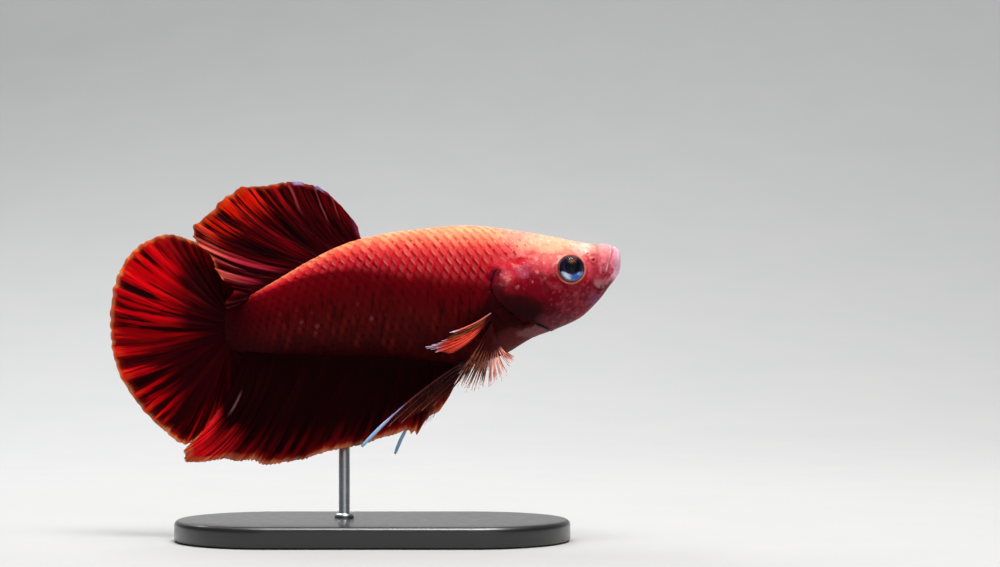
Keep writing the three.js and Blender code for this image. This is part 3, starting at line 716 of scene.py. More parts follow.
# a painted highlight on the pale free edge below, and the painted shadow that the plate in front casts
free_edge_highlight = reach(pa, pb + worn).step(0.66, 0.86) * pa.step(-0.05, -0.35) * pb.step(-0.05, -0.3)
free_edge_highlight = free_edge_highlight * level.between(0.48, 0.56, 0.78, 0.96) * x.step(34.0, 30.0)
free_edge_highlight = free_edge_highlight * (0.2 + 0.7 * tone)
edge_highlight_tint = level.step(0.54, 0.7).mix(shade(150, 34, 46), shade(250, 116, 108))
colour = (free_edge_highlight * x.step(3.0, 9.0)).mix(colour, edge_highlight_tint)
from_tip = NEXT_PLATE * (1 - ROW_SHIFT) - pa
under_upper = reach(-from_tip, pb - NEXT_ROW + worn).step(1.52, 1.2) * from_tip.step(0.25, 0.5)
under_next = reach(pa - NEXT_PLATE, pb + worn).step(1.52, 1.2) * pb.step(-0.02, -0.25)
vivid = start.noise(place, 330.0, 2.0).step(0.3, 0.62)
stroke = under_upper.most(under_next) * (0.6 + 0.4 * tone.step(0.1, 0.6)) * (0.65 + 0.35 * vivid)
stroke_tint = crest.mix(level.step(0.6, 0.85).mix(shade(104, 0, 14), shade(166, 0, 22)), shade(180, 62, 42))
colour = (stroke * (0.1 * lower_flank).most(upper_flank * (1.0 - 0.4 * crest))).mix(colour, stroke_tint)
sheen = start.noise(place, 130.0, 1.0)
# painted lilac glints of iridescence on the mid-flank scales
lilac_glints = sheen.step(0.6, 0.7) * back.between(0.15, 0.3, 0.5, 0.6) * tone.step(0.6, 0.8)
lilac_glints = lilac_glints * reach(pa + 0.4, pb).step(0.5, 0.1)
colour = colour.under(lilac_glints * 0.5, 150, 80, 110)
growth = start.node("TexWave", {"Vector": start.vector(pa, pb, 0.0), "Scale": 5.0, "Distortion": 0.6,
                                "Detail": 1.0}, wave_type="RINGS", rings_direction="Z")
finish_material(start, Base_Color=colour, Roughness=0.46 + 0.12 * tone,
                Normal=start.dents(growth, 0.1, 0.00003), Specular_IOR_Level=0.03)

count = len(centre_x)
for side, name in SIDES:
    # along the fish the plate's own a runs to the snout, so its pointed half faces the tail
    grid_x = centre_x[:, None] + plate_a * (PLATE_LENGTH * along_step)[:, None]
    grid_arc = centre_arc[:, None] + plate_b * (PLATE_HEIGHT * row_step)[:, None]
    angle = flank_angle(grid_x, grid_arc)
    angle = angle if side > 0 else math.pi - angle
    t = t_at(grid_x)
    rise = PLATE_LIFT - PLATE_TILT * plate_a - PLATE_ROLL * plate_b
    rise = rise[None, :] * lift[:, None] - drop
    on_flesh = body_point(t, angle)
    rise = rise - SCALE_DEPTH + breast_relief(on_flesh[..., 0], on_flesh[..., 2])
    points = on_flesh + body_normal(t, angle) * rise[..., None]
    faces = repeated((plate_quads, top_fan, under_fan), count, len(plate_a))
    root_u = t_at(centre_x)[:, None] + PLATE_MAP * plate_a
    root_angle = flank_angle(centre_x, centre_arc)
    root_angle = root_angle if side > 0 else math.pi - root_angle
    root_v = ((root_angle + TAU / 4) / TAU % 1)[:, None] + PLATE_MAP * plate_b
    maps = {"OFBake": np.stack([root_u, root_v], -1),
            "plate": np.tile(np.stack([plate_a, plate_b], -1) * 0.5 + 0.5, (count, 1, 1))}
    scales = add_piece("scales_" + name, points, faces, scale_paint, maps,
                       {"back": flank_share(t, on_flesh[..., 2]),
                        "tone": np.repeat(plate_tone, len(plate_a))})
    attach(scales, "root")


# ------------------------------------------------------------------------------------------------
# The eyes: a globe sunk in each socket, its iris a dark blue-black disc with a silvery blue crescent
# on its floor, painted light that falls through the cornea from above, a black lens standing in
# the pupil, and a clear cornea domed over them.
EYE_SIDE, EYE_RADIUS, EYE_DEPTH = 2.45, 1.68, 1.2
EYE_FORWARD, EYE_UPWARD = 0.16, 0.14 # how far the eye is turned forward and up, in radians
EYE_AROUND, EYE_RINGS = 72, 40
BACK_DEPTH = 0.9           # how far the globe's back reaches into the head
CORNEA = 0.06              # thickness of the clear shell
IRIS_OUT, IRIS_FALL = 0.78, 0.1      # how far out the iris stands, and its fall to the rim
IRIS_UNDER = 0.35          # the most that the iris lies under the globe's dome
LENS_HEIGHT = 0.16
PUPIL = 0.58               # radius of the pupil
PUPIL_SHIFT = (0.05, 0.22)           # its middle from the eye's, forward and up


def end_caps(count, around):
    """The two flat ends of a stack of rings, each as one row of point numbers."""
    ring = np.arange(around)[None, :]
    return [ring[:, ::-1], (count - 1) * around + ring]


def ringed_piece(name, rings, material, marks=None):
    """A closed piece from a stack of rings of points, flat at both ends."""
    quads, _ = grid(*rings.shape[:2], True)
    return add_piece(name, rings, [quads, *end_caps(*rings.shape[:2])], material, None, marks)


def eye_dome(ring_radius, depth, side):
    """Closed body of revolution about the eye's axis: each ring has its radius and its depth
    outwards; it is then tipped up and turned forward and moved to its side of the head."""
    spin = np.arange(EYE_AROUND) / EYE_AROUND * TAU
    flat_x = ring_radius[:, None] * np.cos(spin)
    flat_z = ring_radius[:, None] * np.sin(spin)
    out = np.broadcast_to(depth[:, None], flat_x.shape) * side
    tip = side * EYE_UPWARD
    y = out * math.cos(tip) - flat_z * math.sin(tip)
    z = out * math.sin(tip) + flat_z * math.cos(tip)
    turn = -side * EYE_FORWARD
    x = flat_x * math.cos(turn) - y * math.sin(turn)
    y = flat_x * math.sin(turn) + y * math.cos(turn)
    return np.stack([x + EYE_X, y + side * EYE_SIDE, z + EYE_Z], -1), flat_x, flat_z


eye_paint, start = new_material("eye_iris")
flat_x = start.mark("eye_x")
flat_z = start.mark("eye_z")
out = (flat_x * flat_x + flat_z * flat_z).root()
px = flat_x - PUPIL_SHIFT[0]
pz = flat_z - PUPIL_SHIFT[1]
pupil = (px * px + pz * pz * 1.3).root()
fibres = start.noise(start.place(), 1500.0, 3.0)
colour = out.frayed(fibres, 0.3).ramp(
    (0.0, 16, 16, 40), (0.62, 26, 28, 70), (0.85, 44, 40, 96), (1.0, 26, 18, 46))
# painted light: the silvery blue crescent where light through the cornea falls on the iris floor
hollow_z = flat_z - 0.52
lit_floor_mask = (flat_x * flat_x + hollow_z * hollow_z).root().step(1.2, 1.34) * out.step(1.46, 1.4)
lit_floor_mask = lit_floor_mask * flat_z.step(-0.3, -0.55)
lit_silver = flat_x.frayed(fibres, 1.2).step(-0.55, 0.1).mix(shade(236, 238, 246), shade(36, 96, 196))
lit_silver = fibres.step(0.52, 0.66).mix(lit_silver, shade(150, 190, 236))
lit_silver = out.step(1.28, 1.38).mix(lit_silver, shade(130, 206, 240))
colour = (lit_floor_mask * 0.95).mix(colour, lit_silver)
colour = colour.under(pupil.step(0.98, 0.86), 5, 6, 12)
warm = (px * px + (flat_z - 1.05) * (flat_z - 1.05)).root().step(0.75, 0.3) * fibres.step(0.4, 0.6)
colour = colour.under(warm * 0.55, 150, 92, 60)
colour = colour.under(out.step(1.42, 1.5), 232, 150, 120)
finish_material(start, Base_Color=colour, Roughness=0.3 + 0.2 * fibres, Specular_IOR_Level=0.05)

cornea_paint, start = new_material("eye_cornea")
_, _, z = fish_place(start)
clear = start.node("BsdfTransparent", {"Color": (0.97, 0.98, 1.0, 1.0)})
gloss = start.node("BsdfGlossy", {"Roughness": 0.03})
shine = start.node("Fresnel", {"IOR": 1.38}) * (0.03 + 0.42 * z.step(7.2, 6.4))
start.node("OutputMaterial", {"Surface": start.node("MixShader", {0: shine, 1: clear, 2: gloss})})

reach_out = np.sin(np.linspace(0.02, math.pi / 2, EYE_RINGS)) * EYE_RADIUS
dome = EYE_DEPTH * np.sqrt(np.clip(1 - (reach_out / EYE_RADIUS) ** 2, 0, 1))
iris = np.minimum(dome - CORNEA, IRIS_OUT - IRIS_FALL * (reach_out / EYE_RADIUS) ** 2)
iris = np.maximum(iris, dome - IRIS_UNDER)
lens = LENS_HEIGHT * np.clip(1 - (reach_out / (PUPIL * 1.5)) ** 2, 0, 1) ** 0.5
for side, name in SIDES:
    rings, flat_a, flat_b = eye_dome(
        np.concatenate([reach_out, reach_out[-2::-1]]),
        np.concatenate([iris + lens, -BACK_DEPTH * dome[-2::-1] / EYE_DEPTH]), side)
    globe = ringed_piece("eye_globe_" + name, rings, eye_paint, {"eye_x": flat_a, "eye_z": flat_b})
    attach(globe, "root")
    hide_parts("eye_" + name)
    rings, _, _ = eye_dome(np.concatenate([reach_out, reach_out[::-1]]),
                           np.concatenate([dome, dome[::-1] - CORNEA]), side)
    cornea = ringed_piece("eye_cornea_" + name, rings, cornea_paint)
    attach(cornea, "root")


# ------------------------------------------------------------------------------------------------
# The dorsal fin: a tall fan of forked rays with a thin web between, pleated lengthwise and folded
# over to the right at its hind end. It is one closed sheet, thick at the root inside the back and
# thinning to a notched, golden margin where the ray tips stand out.
FIN_ROOT = 0.6             # how deep a fin's root is set in the flesh
WEB = 0.05                 # half the thickness of the web near the root
RAY_HEIGHT = 0.075         # how far a ray stands out of the web at its middle
ROOT_SWELL = 0.14          # extra half thickness at the root
LIGHT_THROUGH = 0.3        # share of the light that shines through a web


def pleats(u, count, seed):
    """Uneven accordion folds across a fin: knots that swing to either side by turns, each by its
    own amount from a seeded draw, joined by a smooth curve."""
    draw = np.random.default_rng(seed)
    places = np.cumsum(draw.uniform(0.5, 1.7, count))
    places = (places - places[0]) / (places[-1] - places[0])
    knots = np.where(np.arange(count) % 2 == 0, 1, -1) * draw.uniform(0.3, 1.0, count)
    return spline(knots[:, None], np.interp(u, places, np.linspace(0, 1, count)))[..., 0]


def folds(u, v, count, seed):
    """The folds fork as the rays do: a coarse set at the root turns by degrees into a finer one at
    the margin, and all fade out at the root itself."""
    turn = smooth(0.25, 0.9, v)
    fine = pleats(u, int(1.8 * count), seed + 50)
    return (pleats(u, count, seed) * (1 - turn) + fine * turn) * smooth(0.0, 0.3, v)


def wave(turns, phase, u):
    """Sine of so many turns across the fin, from a starting phase."""
    return np.sin(TAU * (turns * u + phase))


def ray_distance(u, v, rays):
    """Distance to the nearest ray in shares of a ray's cell. Every ray forks in two at a third
    of the way out and again at two thirds: | | |p| - first | - second |."""
    p = (u * rays) % 1 - 0.5
    first = 0.25 * smooth(0.22, 0.5, v)
    second = 0.125 * smooth(0.52, 0.82, v)
    return np.abs(np.abs(np.abs(p) - first) - second)


def bowed(rows, bow, u, v):
    """A ray in side view: straight from root to tip plus an arch across it, 4 bow v (1 - v)."""
    place = spline(rows, u)
    root_x, root_z, tip_x, tip_z = np.moveaxis(place, -1, 0)
    dx, dz = tip_x - root_x, tip_z - root_z
    arch = 4 * bow * v * (1 - v)
    return root_x + dx * v - dz * arch, root_z + dz * v + dx * arch


def two_faced(values, sign=1):
    """Values for both faces of a closed sheet: out along the right face and back along the left."""
    return np.concatenate([values, sign * values[:, ::-1]], 1)


def closed_sheet(middle, shift):
    """Points, faces and corner places of a sheet whose two faces lie a shift either side of its
    middle, with a strip over each side edge."""
    across, outward = middle.shape[:2]
    quads, corners = grid(across, 2 * outward, True)
    j = np.arange(outward - 1)
    cap = np.stack([j, j + 1, 2 * outward - 2 - j, 2 * outward - 1 - j], 1)
    maps = [np.stack([np.full(cap.shape, edge), part / (2 * outward)], -1)
            for edge, part in ((0.0, cap), (1.0, cap[:, ::-1]))]
    points = np.concatenate([middle + shift, (middle - shift)[:, ::-1]], 1)
    return points, [quads, cap, cap[:, ::-1] + (across - 1) * 2 * outward], [corners, *maps]


def fin_point(u, v, rows, bow, fold, swing, ripple, lean):
    """Point of a fin: a bowed ray in side view, swung aside by its pleats, the more the further out,
    by a slight ripple, and by a lean of the whole fin that grows outwards."""
    x, z = bowed(rows, bow, u, v)
    y = tail_swing(x) - (swing[0] + swing[1] * v) * fold(u, v) + 0.15 * v * wave(*ripple, u)
    return np.stack([x, y + v * lean, z], -1)


def fin_sheet(name, surface, rays, size, notch, fold_of, paint, replaced, seed, torn=()):
    """Closed sheet on a surface of u across and v outwards: pushed both ways along its normal by
    half the web's thickness plus the rays' ridges, and by more at the root. Each torn place, a
    centre, a width and an amount, lengthens or shortens the rays there."""
    across, outward = size
    draw = np.random.default_rng(seed)
    u = np.linspace(0, 1, across)[:, None]
    tips = rays * 4
    ragged = spline(draw.uniform(0, 1, 2 * tips)[:, None], u)[..., 0]
    coarse = spline(draw.uniform(-1, 1, rays)[:, None], u)[..., 0]
    between = 1 - 2 * np.abs((u * tips + 0.4 * coarse) % 1 - 0.5)
    margin = 1 + notch * (0.8 * coarse + 0.6 * (ragged - 0.5) - 0.9 * ragged**2 * (1 - between) ** 2)
    for centre, width, amount in torn:
        margin = margin + amount * bump(u - centre, width)
    v = margin * (1 - (1 - np.linspace(0, 1, outward)[None, :]) ** 1.25)
    u = np.broadcast_to(u, v.shape)
    low, high = np.clip(u - NUDGE, 0, 1), np.clip(u + NUDGE, 0, 1)
    du = surface(high, v) - surface(low, v)
    normal = unit(np.cross(du, surface(u, v + NUDGE) - surface(u, v - NUDGE)))
    normal *= -np.sign(normal[..., 1].mean())
    cell = np.linalg.norm(du, axis=-1) / (high - low) / rays
    ridge = bump(ray_distance(u, v, rays) * cell, 0.05 + 0.07 * (1 - v))
    half = WEB * (0.4 + 0.6 * (1 - v)) + RAY_HEIGHT * ridge * (1.15 - 0.75 * v)
    half += ROOT_SWELL * smooth(0.16, 0.0, v)
    half *= smooth(0.0, 0.02, margin - v) * 0.8 + 0.2
    length = np.linalg.norm(surface(u, np.ones_like(v)) - surface(u, np.zeros_like(v)), axis=-1)
    points, faces, corners = closed_sheet(surface(u, v), normal * half[..., None])
    piece = add_piece(name, points, faces, paint, {"OFBake": corners}, {
        "across": two_faced(u), "outward": two_faced(v / margin), "ray": two_faced(ridge),
        "fold": two_faced(fold_of(u, v), -1),
        "margin": two_faced((margin - v) * length + 1.5 * smooth(6.0, 3.5, length))})
    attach(piece, "root")
    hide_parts(replaced)


def fin_material(name, tones, bright, dark, hem_colour, hem_width, seed, pleat_share, local_marks,
                 rim_marks=None):
    """Fin web: its tone from the root outwards, with painted light on the pleats that stand out and
    painted shade, nearly black, in narrow valleys, fine streaks of painted light and shade along
    the rays, a painted red glow just inside a golden see-through hem, and a little light let
    through from behind."""
    material, start = new_material(name)
    across, outward = start.mark("across"), start.mark("outward")
    ray, fold, margin = start.mark("ray"), start.mark("fold"), start.mark("margin")
    lines = start.vector(across * 60.0, outward, float(seed))
    streak = start.noise(lines, 1.6, 3.0, 0.6)
    wide = start.vector(across * 9.0, outward * 1.6, float(seed) + 5.0)
    cloud = start.noise(wide, 1.3, 2.0)
    colour = outward.frayed(cloud, 0.3).ramp(*tones)
    bands = start.vector(across * 26.0, outward * 0.5, float(seed) + 9.0)
    relief = fold * pleat_share + (start.noise(bands, 1.5, 1.0) - 0.5) * 1.4 + (streak - 0.5) * 2.2
    # painted light on the pleats and streaks that stand out, painted shade in the valleys, and a little
    # painted light along the rays
    colour = ((relief + outward * 0.15).step(0.1, 0.7) * 0.85).mix(colour, bright)
    colour = ((-relief).step(0.08, 0.5) * outward.step(0.02, 0.3) * 0.9).mix(colour, dark)
    colour = (ray * 0.15 * outward.step(0.0, 0.4)).mix(colour, bright)
    colour = local_marks(start, colour, across, outward, streak, cloud, relief)
    ragged = margin + (streak - 0.5) * hem_width * 1.6 + relief * hem_width * 0.25
    # a painted glow of light through the web just inside the hem
    glow = ragged.step(hem_width * 2.4, hem_width * 0.8)
    colour = colour.under(glow * 0.4 * cloud.step(0.3, 0.6), 214, 40, 20)
    hem = ragged.step(hem_width * 1.2, hem_width * 0.1)
    colour = (hem * (0.3 + 0.65 * cloud.step(0.35, 0.6))).mix(colour, hem_colour)
    colour = rim_marks(colour, across, margin) if rim_marks else colour
    opacity = 1.0 - hem * (0.32 - 0.2 * ray)
    weave = start.dents(start.noise(lines, 7.0, 2.0), 0.2, 0.00004)
    surface = start.node("BsdfPrincipled", {
        "Base Color": colour, "Roughness": 0.45 + 0.2 * streak, "Normal": weave, "Alpha": opacity,
        "Specular IOR Level": 0.03})
    lit_through = start.node("BsdfTranslucent", {"Color": colour})
    mixed = start.node("MixShader", {0: LIGHT_THROUGH, 1: surface, 2: lit_through})
    start.node("OutputMaterial", {"Surface": mixed})
    return material


# One ray a row, from the front of the fin to its hind end: the root's x, the tip's x and z.
DORSAL = np.array([
    [14.9, 14.3, 11.5], [14.2, 12.0, 14.4], [13.2, 9.5, 16.1], [12.1, 6.4, 16.8], [10.9, 3.0, 16.35],
    [9.9, 0.0, 15.4], [8.9, -2.8, 13.5], [7.9, -4.9, 11.1], [7.0, -4.4, 9.5], [6.2, -2.8, 8.0],
    [5.3, -2.2, 6.5], [4.2, -1.2, 5.2], [3.0, 0.0, 4.1], [2.3, -1.1, 2.6], [1.8, -0.8, 1.6],
])
dorsal_rows = np.column_stack(
    [DORSAL[:, 0], spline(BODY, t_at(DORSAL[:, 0]))[:, 1] - FIN_ROOT, DORSAL[:, 1:]])


def dorsal_fold(u, v):
    return folds(u, v, 20, 11)


def dorsal_surface(u, v):
    """Rays from the back to the fin's edge, swung aside by the pleats and by the turned-down hind
    lobes, both growing outwards."""
    lean = -(1.7 * smooth(0.55, 0.95, u) + 0.35 * smooth(0.5, 0.9, u) * wave(3, 0.25, u))
    return fin_point(u, v, dorsal_rows, 0.05, dorsal_fold, (0.08, 0.2), (6, 0.1), lean)


def dorsal_marks(start, colour, across, outward, streak, cloud, relief):
    """Orange and olive gold at the upper hind margin, two rosy bands on the folded hind lobes with
    maroon between, a few pale pink ridges in front, and a blue-white rim on the foremost tips."""
    margin = start.mark("margin")
    hind = across.between(0.24, 0.32, 0.46, 0.54)
    fine = (streak - 0.5) * 3.0 + relief * 0.35
    # painted shade in the valleys between the streaks, and painted light on the streaks of the upper hind
    # part
    colour = colour.under((-fine).step(0.0, 0.4) * 0.6, 24, 0, 5)
    hot = hind * (outward + relief * 0.1).step(0.62, 0.88) * fine.step(-0.15, 0.35)
    colour = colour.under(hot * 0.95, 255, 36, 12)
    gold = hind * outward.frayed(streak, 0.2).step(0.92, 1.02)
    colour = (gold * 0.6).mix(colour, cloud.step(0.36, 0.48).mix(shade(96, 56, 30), shade(250, 104, 34)))
    colour = colour.under(across.step(0.55, 0.62) * outward.step(1.0, 0.6) * 0.8, 54, 0, 10)
    along = across + (cloud - 0.5) * 0.03
    for centre, reach_across, far in ((0.56, 0.042, 0.2), (0.73, 0.034, 0.35)):
        band = (along - centre).size().step(reach_across, reach_across * 0.4)
        band = band * outward.step(far - 0.15, far + 0.2)
        satin = outward.step(0.5, 1.0).mix(shade(200, 42, 64), shade(240, 110, 96))
        tint = (streak.step(0.44, 0.26) * 0.2).mix(satin, shade(110, 8, 26))
        colour = (band * 0.9).mix(colour, tint)
    for centre, first in ((0.1, 0.5), (0.165, 0.35), (0.235, 0.5), (0.655, 0.5)):
        line = (along - centre + outward * 0.01).size().step(0.006, 0.001)
        colour = colour.under(line * outward.step(first, first + 0.3) * (0.2 + 0.6 * streak), 222, 92, 96)
    colour = colour.under(across.step(0.86, 0.93) * 0.85, 42, 0, 6)
    colour = colour.under(across.step(0.045, 0.0) * 0.6, 190, 70, 110)
    salmon = across.between(0.46, 0.52, 0.58, 0.68) * outward.step(0.7, 0.95)
    colour = colour.under(salmon * fine.step(0.0, 0.3) * 0.8, 238, 112, 92)
    colour = colour.under(across.step(0.5, 0.62) * margin.step(0.28, 0.1) * 0.8, 232, 128, 104)
    return colour


def dorsal_rim(colour, across, margin):
    """The front of the rim is crimson, not golden, with three small blue-white blooms."""
    front = across.step(0.26, 0.2) * margin.step(0.5, 0.2)
    colour = colour.under(front * 0.7, 132, 26, 44)
    for centre in (0.02, 0.136, 0.196):
        bloom = (across - centre).size().step(0.018, 0.006) * margin.step(0.55, 0.25)
        colour = colour.under(bloom * 0.85, 190, 176, 232)
    return colour


dorsal_paint = fin_material(
    "dorsal_web", [(0.0, 58, 1, 9), (0.4, 58, 1, 6), (1.0, 94, 3, 8)], bright=shade(140, 2, 13),
    dark=shade(16, 0, 4), hem_colour=shade(206, 112, 62), hem_width=0.3, seed=3, pleat_share=0.25,
    local_marks=dorsal_marks, rim_marks=dorsal_rim)
fin_sheet("dorsal_sheet", dorsal_surface, rays=10, size=(340, 70), notch=0.035, fold_of=dorsal_fold,
          paint=dorsal_paint, replaced="dorsal_fin", seed=21,
          torn=((0.015, 0.015, 0.04), (0.07, 0.03, -0.03), (0.136, 0.014, 0.02), (0.2, 0.02, 0.015),
                (0.27, 0.02, -0.02), (0.34, 0.014, 0.02), (0.43, 0.02, -0.02), (0.49, 0.01, 0.02)))


# ------------------------------------------------------------------------------------------------
# The tail fin: a half-round fan of forked rays from the end of the tail stem, with sharp pleats
# that catch the light by turns. Its upper corner lies behind the dorsal fin's hind lobes.
# One ray a row, from the upper edge to the lower: the root's z, the tip's x and z.
CAUDAL = np.array([
    [2.45, 1.9, 4.1], [2.35, 0.6, 5.2], [2.2, -1.8, 6.6], [2.0, -2.7, 8.2], [1.8, -4.0, 9.4],
    [1.5, -6.1, 10.2], [1.2, -8.2, 10.6], [0.9, -10.5, 9.9], [0.6, -12.6, 8.5], [0.3, -14.1, 6.2],
    [0.0, -15.0, 3.1], [-0.3, -15.2, -0.2],
    [-0.6, -14.6, -3.6], [-0.9, -13.2, -6.8], [-1.2, -11.0, -9.8], [-1.5, -8.5, -12.2],
    [-1.8, -6.1, -13.7], [-2.1, -4.4, -13.0], [-2.3, -2.9, -11.2], [-2.4, -0.8, -9.0], [-2.5, 1.4, -6.6],
    [-2.6, 3.4, -4.4], [-2.65, 4.2, -2.8],
])
caudal_rows = np.column_stack([-0.5 - 0.05 * CAUDAL[:, 0] ** 2, CAUDAL[:, 0], CAUDAL[:, 1:]])


def caudal_fold(u, v):
    return folds(u, v, 36, 12)


def caudal_surface(u, v):
    """Rays from the stem to the half-round edge, swung aside by the pleats and by a lean of the
    upper and the lower corner."""
    lean = 1.2 * smooth(0.35, 0, u) + 1.5 * smooth(0.68, 0.95, u)
    return fin_point(u, v, caudal_rows, 0.03, caudal_fold, (0.08, 0.22), (8, 0.2), lean)


def caudal_marks(start, colour, across, outward, streak, cloud, relief):
    """Scarlet over the upper hind quarter and in the streaks along the lower margin, partly painted
    light on the pleats; dark maroon elsewhere, most of all at the base, with painted shadow of the
    dorsal fin's hind lobes over the upper corner and painted shade over the lower part inside the
    margin and in the valleys."""
    # dark maroon at the base and low down, and painted shadow of the dorsal fin's hind lobes over the upper
    # corner
    deep = outward.step(0.5, 0.1).most(across.step(0.22, 0.14) * outward.step(1.0, 0.6))
    deep = deep.most(across.step(0.36, 0.28) * outward.step(0.8, 0.62))
    inner = outward.frayed(cloud, 0.3).step(0.95, 0.65)
    deep = deep.most(across.step(0.5, 0.62) * (0.6 + 0.4 * inner))
    colour = colour.under(deep * 0.85, 42, 0, 6)
    quarter = across.between(0.26, 0.34, 0.42, 0.56)
    quarter = quarter * (outward + across * 0.8 + (cloud - 0.5) * 0.5).step(0.7, 0.96)
    border = across.between(0.46, 0.54, 0.78, 0.88)
    border = border * outward.frayed(cloud, 0.5).step(0.5, 1.0)
    fine = (streak - 0.5) * 3.0 + start.mark("fold") * 0.25
    # scarlet streaks, partly painted light on the pleats
    hot = (quarter * (relief * 0.6 + fine * 0.5).step(-0.45, 0.0)).most(border * fine.step(0.0, 0.4))
    # painted shade in the valleys between the streaks
    colour = colour.under((-fine).step(0.0, 0.35) * (0.35 + 0.2 * across.step(0.36, 0.5)), 26, 0, 4)
    shaded = across.step(0.52, 0.72) * outward.frayed(cloud, 0.4).step(1.05, 0.8)
    colour = colour.layered(
        (shaded * 0.5, 60, 0, 6),
        (across.step(0.86, 0.92) * 0.8, 42, 0, 6),
        (hot * 0.9, 244, 4, 20))
    flecks = fine.step(0.1, 0.5) * outward.frayed(cloud, 0.1).step(0.86, 0.97)
    return colour.under(flecks * across.between(0.26, 0.34, 0.84, 0.9) * 0.7, 255, 70, 24)


caudal_paint = fin_material(
    "tail_web", [(0.0, 42, 1, 6), (0.35, 66, 1, 6), (0.85, 104, 2, 9)], bright=shade(150, 4, 12),
    dark=shade(66, 1, 8), hem_colour=shade(240, 142, 70), hem_width=0.5, seed=8, pleat_share=0.35,
    local_marks=caudal_marks)
fin_sheet("tail_sheet", caudal_surface, rays=13, size=(480, 84), notch=0.022, fold_of=caudal_fold,
          paint=caudal_paint, replaced="caudal_fin", seed=22)


# ------------------------------------------------------------------------------------------------
# The anal fin: the long fin under the belly, from the vent to the tail stem, its rays sloping
# back. The web is dark and dense with a broad golden hem, ragged between the ray tips.
# One ray a row, from the front of the fin to its hind end: the root's x, the tip's x and z.
ANAL = np.array([
    [26.1, 25.6, -6.9], [24.9, 24.7, -8.6], [24.1, 23.7, -10.0], [23.1, 22.3, -11.2], [21.9, 20.7, -12.1],
    [20.4, 18.6, -12.8], [18.5, 15.8, -13.4], [16.4, 12.7, -14.3], [14.1, 9.2, -15.1], [11.6, 5.9, -15.7],
    [9.1, 3.0, -16.05], [6.9, 0.5, -15.7], [5.0, -1.9, -15.7], [3.5, -4.0, -15.8], [2.4, -5.8, -15.7],
    [1.7, -6.1, -14.7], [1.3, -4.6, -13.2],
])
anal_rows = np.column_stack(
    [ANAL[:, 0], spline(BODY, t_at(ANAL[:, 0]))[:, 2] + FIN_ROOT, ANAL[:, 1:]])


def anal_fold(u, v):
    return folds(u, v, 36, 13)


def anal_surface(u, v):
    """Rays from the belly to the hem, the hindmost swept back in a bow, swung aside by shallow
    pleats and by a lean of the hind part to the right, outside the tail fin."""
    sweep = 0.04 + 0.1 * smooth(0.62, 0.88, u) - 0.07 * smooth(0.95, 1.0, u)
    lean = -1.6 * smooth(0.55, 1, u)
    return fin_point(u, v, anal_rows, sweep, anal_fold, (0.06, 0.16), (7, 0.3), lean)


def anal_marks(start, colour, across, outward, streak, cloud, relief):
    """The dense middle is nearly black; magenta-red low down; the pointed hind corner scarlet in
    streaks, a painted glow of light shining through, with one short pale streak above it; the
    ragged front brownish orange."""
    dense = across.step(-0.05, 0.15) * outward.frayed(cloud, 0.4).step(1.0, 0.5)
    colour = colour.under(dense * 0.9, 30, 0, 2)
    low = outward.step(0.62, 0.92) * relief.step(-0.2, 0.4) * across.step(0.15, 0.35)
    colour = colour.under(low * 0.5, 128, 2, 22)
    # painted glow of light shining through the pointed hind corner, in streaks
    hot = across.step(0.64, 0.84) * relief.step(-0.7, 0.0)
    hot = hot * (outward + across * 0.6 + (cloud - 0.5) * 0.4).step(1.1, 1.36)
    colour = colour.under(hot * 0.92, 255, 30, 40)
    pale = (across - 0.93 + outward * 0.02).size().step(0.012, 0.003)
    colour = colour.under(pale * outward.between(0.3, 0.4, 0.46, 0.58) * 0.6, 168, 110, 118)
    front = across.step(0.26, 0.1) * outward.frayed(streak, 0.3).step(0.7, 0.95)
    return colour.under(front * 0.7, 158, 72, 58)


def anal_rim(colour, across, margin):
    """The hem is broadest and brownish orange at the pointed hind corner."""
    corner = across.step(0.62, 0.8) * margin.step(1.25, 0.7)
    return colour.under(corner * 0.8, 226, 118, 70)


anal_paint = fin_material(
    "anal_web", [(0.0, 32, 1, 3), (0.5, 42, 1, 4), (1.0, 76, 2, 8)], bright=shade(104, 4, 11),
    dark=shade(16, 0, 3), hem_colour=shade(226, 134, 74), hem_width=0.7, seed=14, pleat_share=0.35,
    local_marks=anal_marks, rim_marks=anal_rim)
fin_sheet("anal_sheet", anal_surface, rays=24, size=(500, 64), notch=0.03, fold_of=anal_fold,
          paint=anal_paint, replaced="anal_fin", seed=23,
          torn=((0.222, 0.014, 0.13), (0.252, 0.008, 0.06), (0.17, 0.03, -0.07), (0.28, 0.02, -0.03)))


# ------------------------------------------------------------------------------------------------
# The pectoral fins: a brush of fine forked rays from a fleshy root behind each gill, joined by a
# nearly clear web that stops short of the free, pale tips. Each fin is rays and web apart.
# One ray a row, from the upper lobe round to the front: x, y and z of its root, middle and tip.
PECTORAL = np.array([
    [29.9, 3.7, 1.6, 28.2, 4.8, 0.2, 25.2, 5.4, -0.7],
    [29.9, 3.7, 1.3, 27.4, 5.2, -1.9, 22.4, 5.8, -2.5],
    [29.9, 3.7, 1.0, 27.7, 5.6, -2.4, 23.9, 6.4, -4.2],
    [29.9, 3.6, 0.4, 27.9, 5.4, -2.8, 25.5, 6.4, -6.2],
    [30.0, 3.6, -0.1, 28.7, 5.2, -3.6, 27.0, 6.4, -7.3],
    [30.1, 3.5, -0.5, 29.4, 5.2, -3.9, 28.8, 6.6, -7.1],
    [30.2, 3.5, -0.9, 29.9, 5.2, -3.7, 30.6, 6.8, -6.5],
    [30.4, 3.4, -1.2, 30.2, 5.0, -3.2, 31.9, 6.6, -5.2],
    [30.6, 3.3, -1.4, 30.6, 4.8, -2.8, 32.6, 6.0, -3.9],
])
